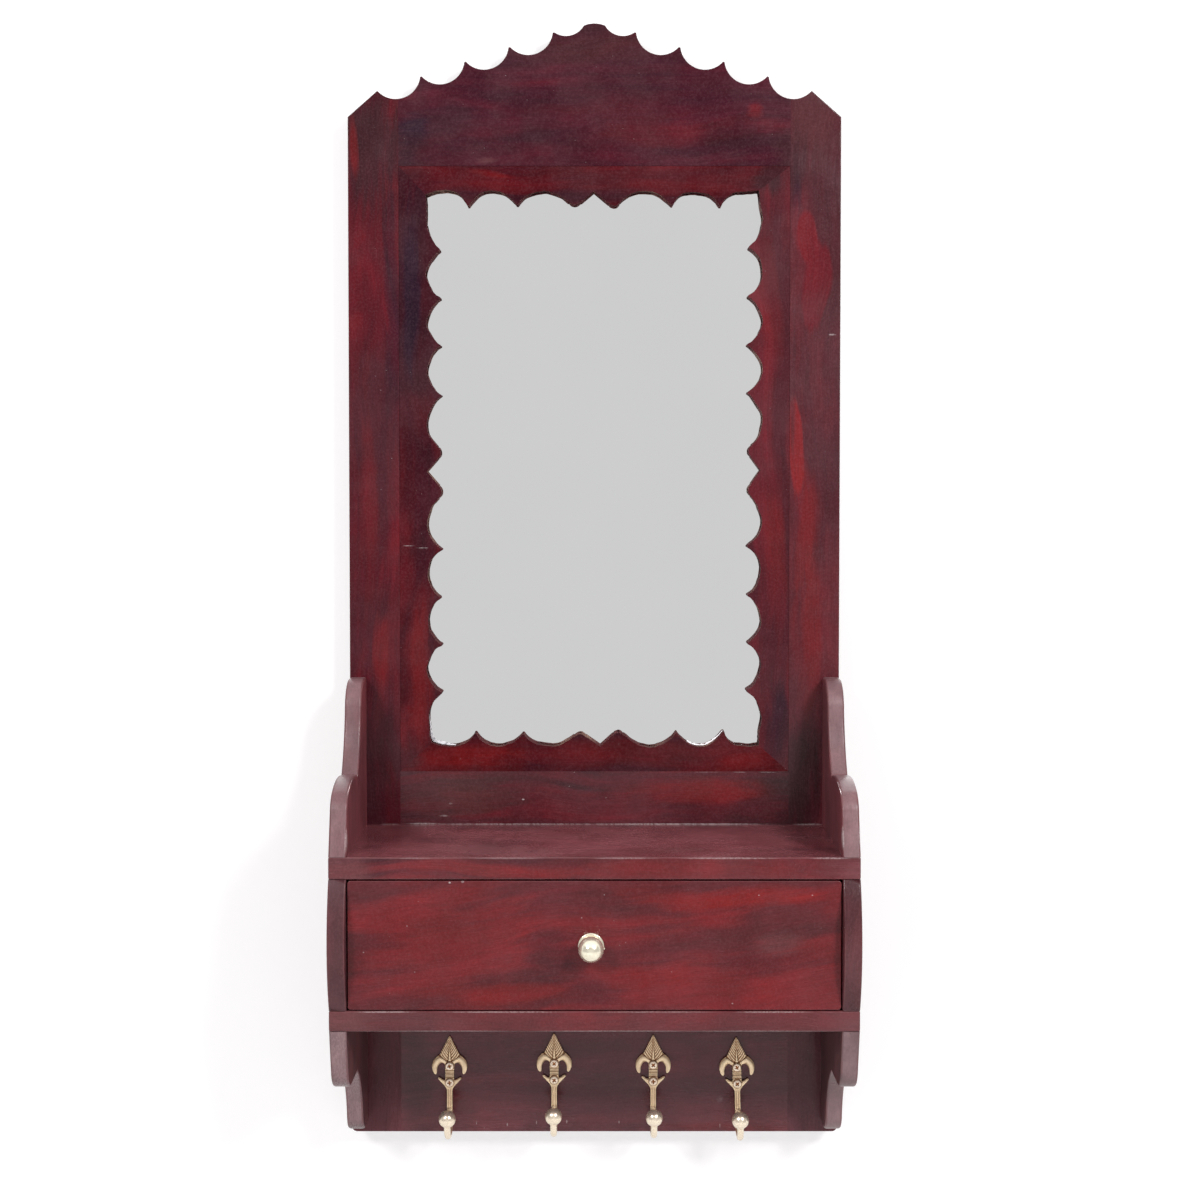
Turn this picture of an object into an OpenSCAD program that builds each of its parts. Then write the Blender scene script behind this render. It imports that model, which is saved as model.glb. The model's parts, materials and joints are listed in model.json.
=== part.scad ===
// Wooden wall mirror with a scalloped crest, a small drawer case and four coat hooks.
// The origin is on the wall plane, at the middle of the panel's bottom edge.
// X runs to the right, Z runs up and the front faces -Y.

/* [Back panel] */
// Width of the panel and of the drawer case
panel_w = 356; // [330:1:400]
// Thickness of the panel boards
panel_t = 18; // [17:0.5:22]
// Width of each upright board
stile_w = 36.5; // [32:0.5:42]
// Height of the lower rail that shows above the shelf
rail_show_h = 39; // [25:1:70]
// Radius of the two bottom corners
corner_r = 4; // [2:0.5:8]

/* [Crest] */
// Height of the outer shoulders above the mirror frame
shoulder_h = 35; // [25:1:45]
// Height of the outermost tips above the mirror frame
outer_tip_h = 53.5; // [50:0.5:60]
// Height of the innermost tips above the mirror frame
inner_tip_h = 95.5; // [85:0.5:100]
// Height of the crown above the mirror frame
peak_h = 102; // [100:0.5:112]
// Distance from the centre to the innermost tips
inner_tip_x = 29.5; // [26:0.5:34]
// Distance from the panel's edge to the outermost tips
outer_tip_in = 21; // [18:0.5:26]
// Number of tips on each side of the crown
tip_count = 5; // [4:1:6]
// Width of a tip
tip_w = 1.2; // [0.8:0.1:2]
// Depth of the scallops between the tips
scallop_depth = 10.4; // [7:0.2:12]
// Width of the rounded crown
crown_w = 14; // [10:1:18]
// Radius of the crown's top
crown_r = 20; // [14:1:40]
// Depth of the shallow scallop beside the crown
crown_dip = 4.8; // [3:0.2:6]

/* [Mirror frame] */
// Height of the frame that the four scalloped strips make
frame_h = 439; // [400:1:480]
// Width of the side strips where a lobe is deepest
side_strip_w = 20; // [18:0.5:26]
// Width of the top and bottom strips where a lobe is deepest
end_strip_w = 17.8; // [16:0.2:24]
// Thickness of the strips
strip_t = 8.5; // [6:0.5:9]
// How far the strips lie behind the panel's face
strip_set_back = 0.5; // [0.2:0.1:1]
// Depth of the lobes
lobe_depth = 10; // [7:0.5:12]
// Distance from one cusp to the next
lobe_pitch = 35; // [30:0.1:40]
// Distance from the middle of a side to its first cusp
first_cusp = 56; // [50:0.5:62]
// Width of a cusp
cusp_w = 1; // [0.6:0.1:2]
// Distance from the middle of a side to the round bump beside its notch
bump_x = 14.2; // [12:0.2:16]
// Radius of the bump
bump_r = 4.8; // [3.5:0.1:5.5]
// How far the bottom strip's lobes lie to the right of the middle
bottom_shift = 3.6; // [-5:0.2:5]
// How far the left strip's lobes lie below the middle
left_shift = 1.6; // [-3:0.2:3]
// Thickness of the mirror
glass_t = 3; // [2:0.5:4]
// Thickness of the backing board
backing_t = 2.5; // [2:0.5:4]
// Gap around the mirror and its backing board
glass_gap = 0.5; // [0.3:0.1:1.5]
// Radius of the pins behind the backing board
pin_r = 0.6; // [0.5:0.1:0.7]
// Length of the pins
pin_l = 14; // [10:1:18]

/* [Drawer case] */
// Depth of the shelf and bottom board in front of the panel
case_d = 118; // [105:1:135]
// Height of the space under the case
hook_bay_h = 109; // [102:1:125]
// Thickness of the bottom board
bottom_t = 14; // [12:0.5:18]
// Height of the drawer's bay
bay_h = 88.5; // [80:0.5:110]
// Thickness of the shelf
shelf_t = 15; // [12:0.5:18]
// Thickness of the case sides and brackets
side_t = 12; // [11:0.5:15]
// How far the curved front edge of a case side stands out at its middle
side_bulge = 9.5; // [3:0.5:12]

/* [Brackets] */
// Height of the upper brackets above the shelf
ear_h = 108; // [95:1:115]
// Depth of the ear at its widest
ear_d = 31; // [27:0.5:36]
// Radius of the ear's top corner
ear_r = 22; // [14:1:24]
// Depth of the cusp between ear and lobe
ear_cusp_d = 51; // [46:1:58]
// Height of that cusp above the shelf
ear_cusp_h = 44; // [38:0.5:46]
// Height of the upper lobe's shoulder above the shelf
ear_lobe_h = 43; // [38:0.5:46]
// Height of the lower brackets
foot_h = 101; // [92:0.5:104]
// Depth of the lower bracket's foot
foot_d = 29; // [25:0.5:33]
// Radius of the foot's corner
foot_r = 15; // [10:0.5:20]
// Depth of the cusp between foot and lobe
foot_cusp_d = 58; // [50:1:62]
// Distance of that cusp below the bottom board
foot_cusp_h = 45.5; // [40:0.5:50]
// Distance of the lower lobe's underside below the bottom board
foot_lobe_h = 44.5; // [38:0.5:46]

/* [Drawer] */
// Thickness of the drawer front
front_t = 14; // [12:0.5:18]
// Gap around the drawer front
front_gap = 0.8; // [0.5:0.1:1.5]
// Running gap under the drawer box
slide_gap = 0.4; // [0.3:0.1:0.6]
// Thickness of the drawer's sides and back
box_t = 9; // [8:0.5:11]
// Height of the drawer's sides and back
box_h = 78; // [60:1:78]
// Thickness of the drawer's bottom
tray_t = 4; // [3:0.5:6]
// Height of the drawer's bottom above the lower edge of its sides
tray_z = 6; // [4:0.5:10]
// Depth of the grooves that hold the drawer's bottom
groove_d = 4; // [3:0.5:5]
// Gap between the closed drawer and the panel
back_gap = 2; // [1:0.5:5]
// Distance of the knob to the right of the middle
knob_x = -2.3; // [-8:0.1:8]
// Diameter of the knob's ball
knob_d = 17; // [14:0.1:20]
// Gap between the knob's ball and the drawer front
knob_gap = 2.1; // [2:0.1:8]
// Diameter of the knob's foot
knob_foot_d = 17.5; // [14:0.5:22]
// Thickness of the knob's foot
knob_foot_t = 2; // [1.5:0.1:3]
// Diameter of the knob's neck
knob_neck_d = 8; // [6:0.5:10]

/* [Coat hooks] */
// Places of the hooks to the right of the middle
hook_x = [-106, -29.5, 43, 104.5]; // [-120:0.5:120]
// Lean of each hook
hook_lean = [0, 0, 0, -1.5]; // [-4:0.5:4]
// Heights of the lower screws above the panel's bottom edge
hook_z = [37.3, 39.2, 38.2, 36.4]; // [32:0.1:42]
// Thickness of the hook's plate
hook_t = 2.6; // [2:0.1:3.5]
// Distance between the two screws
hook_screw_gap = 12.2; // [10:0.2:14]
// Height of the leaf above the upper screw
leaf_h = 22.5; // [18:0.5:27]
// Half of the leaf's width at its foot
leaf_w = 8; // [7:0.2:9]
// Radius of the volutes' outer curve
volute_r = 6.8; // [6:0.1:7.2]
// Radius of the gap inside a volute
volute_gap_r = 2.8; // [2.4:0.1:3]
// Width of the collar between the screws
collar_w = 6.8; // [6:0.2:7.4]
// Half of the span of the wings
wing_x = 8.2; // [7:0.2:10]
// Width of the stem
stem_w = 4.2; // [3.8:0.1:5.2]
// Radius of the J's centre line
throw_r = 12; // [11:0.5:15]
// Distance from the lower screw down to the centre of the J
throw_drop = 23.2; // [20:0.2:24]
// Radius of the J's rod
rod_r = 2.1; // [1.8:0.1:2.3]
// Radius of the ball
ball_r = 6.2; // [5:0.1:7]
// Height of the ball's centre above the centre of the J
ball_rise = 4.2; // [3:0.2:6]
// Radius of the hook screws' heads
hook_head_r = 3.1; // [2.6:0.1:3.3]
// Length of the hook screws in the board
hook_screw_l = 13; // [9:0.5:15]

/* [Fasteners] */
// Radius of the panel's dowels
dowel_r = 4; // [3:0.5:5]
// Length of the panel's dowels
dowel_l = 40; // [30:2:50]
// Radius of the case's dowels
peg_r = 3; // [2:0.5:3.5]
// How far a case dowel reaches into a side or a bracket
peg_reach = 12; // [8:1:16]
// Radius of the case screws
screw_r = 1.9; // [1.5:0.1:2.2]
// Length of the case screws
screw_l = 42; // [34:1:50]
// Gap around dowels and screws
glue_gap = 0.1; // [0.05:0.05:0.2]

/* [Hanger plates] */
// Distance of the hanger plates below the upper edge of the mirror frame
hanger_drop = 14; // [14:1:60]
// Width of a hanger plate
hanger_w = 16; // [14:1:20]
// Length of a hanger plate
hanger_l = 50; // [46:1:56]
// Thickness of a hanger plate
hanger_t = 1.5; // [1:0.1:2]
// Radius of the keyhole's round hole
keyhole_r = 4.5; // [4:0.1:5]
// Width of the keyhole's slot
keyhole_slot_w = 4.6; // [4:0.1:5]
// Distance from the round hole to the slot's end
keyhole_run = 12; // [9:0.5:13]
// Depth of the pocket behind a keyhole
pocket_d = 9; // [7:0.5:11]

/* [Hidden] */
$fn = 48;

WOOD = [0.36, 0.10, 0.12];
DARK_WOOD = [0.24, 0.08, 0.10];
RED_WOOD = [0.45, 0.10, 0.11];
PALE_WOOD = [0.66, 0.50, 0.34];
BRASS = [0.80, 0.64, 0.40];
STEEL = [0.62, 0.62, 0.64];
GLASS = [0.80, 0.81, 0.82];

// Cutters reach this far past the faces that they open
past = 1;

// Heights of the horizontal boards
bottom_z = hook_bay_h;
bay_z = bottom_z + bottom_t;
shelf_z = bay_z + bay_h;
shelf_top_z = shelf_z + shelf_t;
frame_z = shelf_top_z + rail_show_h;
frame_top_z = frame_z + frame_h;
board_joint_z = bay_z + bay_h / 2;

// Inner edges of the uprights, and the middle of the mirror frame
half_w = panel_w / 2;
inner_x = half_w - stile_w;
stile_mid_x = half_w - stile_w / 2;
frame_mid_z = frame_z + frame_h / 2;
side_in_x = half_w - side_t;
side_mid_x = half_w - side_t / 2;

// Layers behind the strips, from front to back
strip_y = -panel_t + strip_set_back;
glass_y = strip_y + strip_t;
backing_y = glass_y + glass_t;
backing_back_y = backing_y + backing_t;
pin_y = backing_back_y + pin_r + glue_gap;

// Places of the crest's tips
tip_pitch = (half_w - outer_tip_in - inner_tip_x) / (tip_count - 1);
tip_fall = (inner_tip_h - outer_tip_h) / (tip_count - 1);
function tip(i) = [inner_tip_x + i * tip_pitch, frame_top_z + inner_tip_h - i * tip_fall];
crown_top_z = frame_top_z + peak_h;
crown_edge = [crown_w / 2, crown_top_z - crown_r + sqrt(crown_r * crown_r - crown_w * crown_w / 4)];

// Half sizes of the opening, measured to its cusps
cusp_half_w = inner_x - side_strip_w - lobe_depth;
cusp_half_h = frame_h / 2 - end_strip_w - lobe_depth;

// Radius of an arc with this chord and this depth
function arc_r(chord, depth) = (chord * chord / 4 + depth * depth) / (2 * depth);

// Points along an arc from p to q that bows by depth to the left of the way from p to q
function bow(p, q, depth, steps = 10) =
    let(
        chord = norm(q - p),
        along = (q - p) / chord,
        left = [-along.y, along.x],
        r = arc_r(chord, abs(depth)),
        half_turn = 2 * atan(2 * abs(depth) / chord),
        side = sign(depth)
    )
    [
        for (i = [0:steps])
            let(a = half_turn * (2 * i / steps - 1))
            (p + q) / 2 + along * r * sin(a) + left * (depth - side * r * (1 - cos(a)))
    ];

// Points along a round corner, from the angle start to the angle end
function corner(centre, r, start, end, steps = 8) =
    [for (i = [0:steps]) let(a = start + (end - start) * i / steps) centre + r * [cos(a), sin(a)]];

// A flat outline in X and Z, made solid from the depth front to the depth back
module upright(front, back) {
    translate([0, back, 0])
        rotate([90, 0, 0])
            linear_extrude(back - front)
                children();
}

// A side outline of depth and height, made solid as a board whose lower X face is at x
module side_board(x) {
    translate([x + side_t, -panel_t, 0])
        rotate([90, 0, -90])
            linear_extrude(side_t)
                children();
}

// A box between two opposite corners
module block(low, high) {
    translate(low)
        cube(high - low);
}

// A round rod centred at a point, along X, Y or Z
module rod(at, along, r, l) {
    turn = along == "x" ? [0, 90, 0] : along == "y" ? [90, 0, 0] : [0, 0, 0];
    translate(at)
        rotate(turn)
            cylinder(r = r, h = l, center = true);
}

// A countersunk screw that points to the front, with its head's face at the point given
module wood_screw(at, r, head_r, l, grow = 0) {
    head_l = head_r - r;
    translate(at)
        rotate([90, 0, 0]) {
            translate([0, 0, -grow])
                cylinder(r1 = head_r + 2 * grow, r2 = r + grow, h = head_l + 2 * grow);
            cylinder(r = r + grow, h = l + grow);
        }
}

// Joinery of the panel
dowel_in = 14;
panel_dowel_zs = [
    dowel_in, board_joint_z - dowel_in,
    board_joint_z + dowel_in, frame_z - dowel_in,
    frame_top_z + dowel_in, frame_top_z + shoulder_h - dowel_r,
];
joint_dowel_xs = [-inner_x + 2 * dowel_l, 0, inner_x - 2 * dowel_l];

module panel_dowel_rods(grow = 0) {
    for (x = [-inner_x, inner_x], z = panel_dowel_zs)
        rod([x, -panel_t / 2, z], "x", dowel_r + grow, dowel_l + 2 * grow);
    for (x = joint_dowel_xs)
        rod([x, -panel_t / 2, board_joint_z], "z", dowel_r + grow, dowel_l + 2 * grow);
}

// Joinery of the case: dowels through the shelf and through the bottom board
peg_in = 22;
peg_ys = [-panel_t - peg_in, -panel_t - case_d + 2 * peg_in];

module peg_rods(grow = 0) {
    for (x = [-side_mid_x, side_mid_x], y = peg_ys) {
        rod([x, y, shelf_z + shelf_t / 2], "z", peg_r + grow, shelf_t + 2 * peg_reach + 2 * grow);
        rod([x, y, bottom_z + bottom_t / 2], "z", peg_r + grow, bottom_t + 2 * peg_reach + 2 * grow);
    }
}

// Screws from the back into the case and into the brackets
screw_sink = 0.2;
screw_head_r = 2 * screw_r;
bracket_screw_share = 0.75;
ear_screw_z = shelf_top_z + bracket_screw_share * ear_h;
foot_screw_z = bottom_z - bracket_screw_share * foot_h;
bracket_screw_l = panel_t + 20;

module case_screw_rods(grow = 0) {
    for (x = [-stile_mid_x, 0, stile_mid_x], z = [shelf_z + shelf_t / 2, bottom_z + bottom_t / 2])
        wood_screw([x, -screw_sink, z], screw_r, screw_head_r, screw_l, grow);
    for (x = [-side_mid_x, side_mid_x], z = [ear_screw_z, foot_screw_z])
        wood_screw([x, -screw_sink, z], screw_r, screw_head_r, bracket_screw_l, grow);
}

// Pins that hold the backing board, half in the frame boards
pin_end_in = 60;
pin_zs = [frame_z + pin_end_in, frame_mid_z, frame_top_z - pin_end_in];
pin_xs = [-inner_x + pin_end_in, inner_x - pin_end_in];

module pin_rods(grow = 0) {
    for (x = [-inner_x, inner_x], z = pin_zs)
        rod([x, pin_y, z], "x", pin_r + grow, pin_l + 2 * grow);
    for (x = pin_xs, z = [frame_z, frame_top_z])
        rod([x, pin_y, z], "z", pin_r + grow, pin_l + 2 * grow);
}

// Hooks: each is drawn with its lower screw at the origin, and then put in its place
hook_screw_zs = [0, hook_screw_gap];
hook_shank_r = 1.4;
hook_head_t = 1.5;
hook_head_top_share = 0.7;

module at_hook(i) {
    translate([hook_x[i], -panel_t, hook_z[i]])
        rotate([0, hook_lean[i], 0])
            children();
}

module hook_screw_shanks(grow = 0) {
    for (i = [0:len(hook_x) - 1])
        at_hook(i)
            for (z = hook_screw_zs)
                translate([0, -hook_t, z])
                    rotate([-90, 0, 0])
                        cylinder(r = hook_shank_r + grow, h = hook_t + hook_screw_l + grow);
}

// Hanger plates
hanger_z = frame_top_z - hanger_drop;
hanger_gap = 0.2;
hanger_screw_in = 6;
hanger_screw_r = 1.4;
hanger_head_r = 2.8;
hanger_screw_l = 11;
keyhole_z = hanger_z - keyhole_run / 2;

module keyhole_outline(r, slot_w, top_r) {
    translate([0, -keyhole_run / 2])
        circle(r);
    translate([-slot_w / 2, -keyhole_run / 2])
        square([slot_w, keyhole_run]);
    translate([0, keyhole_run / 2])
        circle(top_r);
}

module hanger_outline(grow = 0) {
    straight = hanger_l - hanger_w;
    translate([-hanger_w / 2 - grow, -straight / 2])
        square([hanger_w + 2 * grow, straight]);
    for (z = [-straight / 2, straight / 2])
        translate([0, z])
            circle(hanger_w / 2 + grow);
}

module hanger_screw_rods(x, grow = 0) {
    for (z = [-1, 1])
        wood_screw([x, 0, hanger_z + z * (hanger_l / 2 - hanger_screw_in)],
            hanger_screw_r, hanger_head_r, hanger_screw_l, grow);
}

module hanger_pocket(x) {
    translate([x, 0, hanger_z]) {
        upright(-hanger_t, past)
            hanger_outline(hanger_gap);
        upright(-pocket_d, 0)
            keyhole_outline(keyhole_r + 1, 2 * keyhole_r + 2, keyhole_r + 1);
    }
    hanger_screw_rods(x, glue_gap);
}

// The outline of the whole panel, with its scalloped crest
module scallop(p, q, depth) {
    chord_v = q - p;
    along = chord_v / norm(chord_v);
    chord = norm(chord_v) - tip_w;
    up = along.x > 0 ? [-along.y, along.x] : [along.y, -along.x];
    r = arc_r(chord, depth);
    translate((p + q) / 2 + up * (r - depth))
        circle(r);
}

module panel_outline() {
    right_tips = [for (i = [tip_count - 1:-1:0]) tip(i)];
    left_tips = [for (i = [0:tip_count - 1]) [-tip(i).x, tip(i).y]];
    difference() {
        union() {
            polygon(concat(
                [[-half_w + corner_r, 0], [half_w - corner_r, 0], [half_w, corner_r]],
                [[half_w, frame_top_z + shoulder_h]],
                right_tips,
                [[0, crown_edge.y]],
                left_tips,
                [[-half_w, frame_top_z + shoulder_h], [-half_w, corner_r]]
            ));
            for (x = [-1, 1])
                translate([x * (half_w - corner_r), corner_r])
                    circle(corner_r);
            translate([0, crown_top_z - crown_r])
                circle(crown_r);
        }
        for (side = [0, 1])
            mirror([side, 0]) {
                for (i = [0:tip_count - 2])
                    scallop(tip(i), tip(i + 1), scallop_depth);
                scallop(crown_edge, tip(0), crown_dip);
            }
    }
}

// The opening in the mirror frame, centred on it
module side_lobe(from, to) {
    chord = to - from - cusp_w;
    r = arc_r(chord, lobe_depth);
    translate([(from + to) / 2, lobe_depth - r])
        circle(r);
}

// One half of one side: X runs along the side and Y = 0 is the line of its cusps
module half_side_cuts(half_l, shift) {
    cusps = floor((half_l - first_cusp) / lobe_pitch) + 1;
    cusp_x = [for (i = [0:cusps - 1]) first_cusp + shift + i * lobe_pitch];
    intersection() {
        translate([shift, -past])
            square([half_l + lobe_depth - shift, lobe_depth + 2 * past]);
        union() {
            side_lobe(bump_x + shift + bump_r / 2, cusp_x[0]);
            if (cusps > 1)
                for (i = [0:cusps - 2])
                    side_lobe(cusp_x[i], cusp_x[i + 1]);
            side_lobe(cusp_x[cusps - 1], half_l + lobe_depth);
        }
    }
    translate([shift, 0]) {
        polygon([
            [-past, -past], [bump_x - bump_r, -past], [bump_x - bump_r, bump_r / 2],
            [0, lobe_depth], [-past, lobe_depth - past],
        ]);
        translate([bump_x - bump_r - past, -past])
            square([2 * bump_r + past, past + bump_r / 2]);
    }
}

module side_cuts(half_l, shift) {
    difference() {
        union() {
            half_side_cuts(half_l, shift);
            mirror([1, 0])
                half_side_cuts(half_l, -shift);
        }
        for (side = [-1, 1])
            translate([shift + side * bump_x, bump_r])
                circle(bump_r);
    }
}

// Its corners reach past the cusps by these shares of a lobe's depth
corner_share = [0.8, 0.55];

module corner_cut() {
    corner_w = corner_share.x * lobe_depth;
    corner_h = corner_share.y * lobe_depth;
    translate([cusp_half_w - lobe_depth, cusp_half_h - 2 * lobe_depth])
        square([lobe_depth + corner_w, 2 * lobe_depth + corner_h]);
}

module opening_outline() {
    square([2 * cusp_half_w, 2 * cusp_half_h], center = true);
    translate([0, cusp_half_h])
        side_cuts(cusp_half_w, 0);
    rotate(180)
        translate([0, cusp_half_h])
            side_cuts(cusp_half_w, -bottom_shift);
    rotate(-90)
        translate([0, cusp_half_w])
            side_cuts(cusp_half_h, 0);
    rotate(90)
        translate([0, cusp_half_w])
            side_cuts(cusp_half_h, -left_shift);
    for (x = [0, 1], z = [0, 1])
        mirror([x, 0])
            mirror([0, z])
                corner_cut();
}

// A mitred part of the mirror frame: side 0 is the bottom, and the others follow anticlockwise
module mitred(side) {
    x = inner_x;
    z = frame_h / 2;
    reach = min(x, z) - past;
    corners = [[-x, -z], [x, -z], [x, z], [-x, z]];
    inner = [[reach - x, reach - z], [x - reach, reach - z], [x - reach, z - reach], [reach - x, z - reach]];
    next = (side + 1) % 4;
    polygon([corners[side], corners[next], inner[next], inner[side]]);
}

module strip(side, tone) {
    color(tone)
        translate([0, 0, frame_mid_z])
            upright(strip_y, strip_y + strip_t)
                difference() {
                    mitred(side);
                    opening_outline();
                }
}

// Back panel
module panel_board(low_x, high_x, low_z, high_z) {
    difference() {
        upright(-panel_t, 0)
            intersection() {
                panel_outline();
                translate([low_x, low_z])
                    square([high_x - low_x, high_z - low_z]);
            }
        panel_dowel_rods(glue_gap);
        case_screw_rods(glue_gap);
        pin_rods(glue_gap / 2);
        children();
    }
}

module left_stile() {
    color(WOOD)
        panel_board(-half_w, -inner_x, 0, crown_top_z)
            hanger_pocket(-stile_mid_x);
}

module right_stile() {
    color(WOOD)
        panel_board(inner_x, half_w, 0, crown_top_z)
            hanger_pocket(stile_mid_x);
}

module crest_rail() {
    color(WOOD)
        panel_board(-inner_x, inner_x, frame_top_z, crown_top_z);
}

module lower_rail() {
    color(DARK_WOOD)
        panel_board(-inner_x, inner_x, board_joint_z, frame_z);
}

module hook_board() {
    color(DARK_WOOD)
        panel_board(-inner_x, inner_x, 0, board_joint_z)
            hook_screw_shanks(glue_gap / 2);
}

module panel_dowels() {
    color(PALE_WOOD)
        panel_dowel_rods();
}

// Mirror and its backing
module scallop_bottom() strip(0, RED_WOOD);
module scallop_right() strip(1, WOOD);
module scallop_top() strip(2, RED_WOOD);
module scallop_left() strip(3, WOOD);

module mirror_glass() {
    color(GLASS)
        block([-inner_x + glass_gap, glass_y, frame_z + glass_gap],
            [inner_x - glass_gap, backing_y, frame_top_z - glass_gap]);
}

module backing_board() {
    color(PALE_WOOD)
        block([-inner_x + glass_gap, backing_y, frame_z + glass_gap],
            [inner_x - glass_gap, backing_back_y, frame_top_z - glass_gap]);
}

module backing_pins() {
    color(STEEL)
        pin_rods();
}

// Drawer case
module case_board(low_z, high_z) {
    difference() {
        block([-half_w, -panel_t - case_d, low_z], [half_w, -panel_t, high_z]);
        peg_rods(glue_gap);
        case_screw_rods(glue_gap);
    }
}

module shelf_board() {
    color(RED_WOOD)
        case_board(shelf_z, shelf_top_z);
}

module bottom_board() {
    color(WOOD)
        case_board(bottom_z, bay_z);
}

module case_side(x) {
    bulge_r = arc_r(bay_h, side_bulge);
    color(DARK_WOOD)
        difference() {
            side_board(x)
                intersection() {
                    translate([0, bay_z])
                        square([case_d + side_bulge + past, bay_h]);
                    translate([case_d + side_bulge - bulge_r, bay_z + bay_h / 2])
                        circle(bulge_r);
                }
            peg_rods(glue_gap);
        }
}

module left_case_side() case_side(-half_w);
module right_case_side() case_side(side_in_x);

// Shaped brackets above and below the case
lobe_r = 18;
lobe_lean = 8;
ear_lobe_end = 68;
ear_lobe_bow = 4;
ear_bow = 3;
foot_lobe_end = -12;
foot_bow = 5;

module upper_bracket(x) {
    ear_top = [ear_d - ear_r, ear_h - ear_r];
    cusp = [ear_cusp_d, ear_cusp_h];
    lobe = [case_d - lobe_r - lobe_lean, ear_lobe_h - lobe_r];
    color(DARK_WOOD)
        difference() {
            side_board(x)
                translate([0, shelf_top_z])
                    polygon(concat(
                        [[0, 0], [case_d, 0]],
                        corner(lobe, lobe_r, lobe_lean, ear_lobe_end),
                        bow(lobe + lobe_r * [cos(ear_lobe_end), sin(ear_lobe_end)], cusp, -ear_lobe_bow),
                        bow(cusp, ear_top + [ear_r, 0], ear_bow, 6),
                        corner(ear_top, ear_r, 0, 90),
                        [[0, ear_h]]
                    ));
            peg_rods(glue_gap);
            case_screw_rods(glue_gap);
        }
}

module lower_bracket(x) {
    foot = [foot_d - foot_r, foot_r - foot_h];
    cusp = [foot_cusp_d, -foot_cusp_h];
    lobe = [case_d - lobe_r - lobe_lean, lobe_r - foot_lobe_h];
    color(DARK_WOOD)
        difference() {
            side_board(x)
                translate([0, bottom_z])
                    polygon(concat(
                        [[0, 0], [0, -foot_h]],
                        corner(foot, foot_r, -90, 0),
                        bow(foot + [foot_r, 0], cusp, foot_bow),
                        corner(lobe, lobe_r, -90, foot_lobe_end),
                        [[case_d, 0]]
                    ));
            peg_rods(glue_gap);
            case_screw_rods(glue_gap);
        }
}

module left_upper_bracket() upper_bracket(-half_w);
module right_upper_bracket() upper_bracket(side_in_x);
module left_lower_bracket() lower_bracket(-half_w);
module right_lower_bracket() lower_bracket(side_in_x);

module case_dowels() {
    color(PALE_WOOD)
        peg_rods();
}

module case_screws() {
    color(STEEL)
        case_screw_rods();
}

// Drawer
box_x = side_in_x - front_gap;
box_in_x = box_x - box_t;
box_z = bay_z + slide_gap;
front_y = -panel_t - case_d;
front_back_y = front_y + front_t;
box_back_y = -panel_t - back_gap;
tray_fit = 0.1;
drawer_dowel_r = 2.5;
drawer_dowel_in = 8;
drawer_dowel_shares = [1 / 3, 3 / 4];
drawer_dowel_hs = box_h * drawer_dowel_shares;
brad_r = 0.7;
brad_l = 28;
knob_at = [knob_x, front_y, bay_z + bay_h / 2];
knob_reach = knob_gap + knob_d / 2;
knob_screw_r = 2;
knob_screw_in = 8;
knob_head_r = 4;
knob_head_t = 2.4;

module tray(grow = 0) {
    reach = groove_d - tray_fit + grow;
    block([-box_in_x - reach, front_back_y - reach, box_z + tray_z - grow],
        [box_in_x + reach, box_back_y - box_t + reach, box_z + tray_z + tray_t + grow]);
}

module drawer_dowel_rods(grow = 0) {
    for (x = [-1, 1], h = drawer_dowel_hs)
        rod([x * (box_x - box_t / 2), front_back_y, box_z + h], "y",
            drawer_dowel_r + grow, 2 * (drawer_dowel_in + grow));
}

module brad_rods(grow = 0) {
    for (x = [-1, 1], h = drawer_dowel_hs)
        rod([x * (box_x - screw_sink - brad_l / 2), box_back_y - box_t / 2, box_z + h], "x",
            brad_r + grow, brad_l + 2 * grow);
}

module knob_bolt(grow = 0) {
    through = front_t + knob_screw_in;
    translate([knob_at.x, front_back_y, knob_at.z])
        rotate([90, 0, 0])
            cylinder(r = knob_screw_r + grow, h = through + grow);
}

module drawer_front() {
    color(RED_WOOD)
        difference() {
            block([-box_x, front_y, bay_z + front_gap], [box_x, front_back_y, shelf_z - front_gap]);
            tray(tray_fit);
            drawer_dowel_rods(glue_gap);
            knob_bolt(glue_gap);
        }
}

module drawer_side(low_x) {
    color(PALE_WOOD)
        difference() {
            block([low_x, front_back_y, box_z], [low_x + box_t, box_back_y, box_z + box_h]);
            tray(tray_fit);
            drawer_dowel_rods(glue_gap);
            brad_rods(glue_gap / 2);
        }
}

module drawer_left_side() drawer_side(-box_x);
module drawer_right_side() drawer_side(box_in_x);

module drawer_back() {
    color(PALE_WOOD)
        difference() {
            block([-box_in_x, box_back_y - box_t, box_z], [box_in_x, box_back_y, box_z + box_h]);
            tray(tray_fit);
            brad_rods(glue_gap / 2);
        }
}

module drawer_bottom() {
    color(PALE_WOOD)
        tray();
}

module drawer_dowels() {
    color(PALE_WOOD)
        drawer_dowel_rods();
}

module drawer_brads() {
    color(STEEL)
        brad_rods();
}

module drawer_knob() {
    color(BRASS)
        difference() {
            translate(knob_at)
                rotate([90, 0, 0]) {
                    cylinder(r = knob_foot_d / 2, h = knob_foot_t);
                    cylinder(r = knob_neck_d / 2, h = knob_reach);
                    translate([0, 0, knob_reach])
                        sphere(r = knob_d / 2);
                }
            knob_bolt(glue_gap);
        }
}

module knob_screw() {
    color(STEEL) {
        knob_bolt();
        translate([knob_at.x, front_back_y + knob_head_t, knob_at.z])
            rotate([90, 0, 0])
                cylinder(r = knob_head_r, h = knob_head_t);
    }
}

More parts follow.
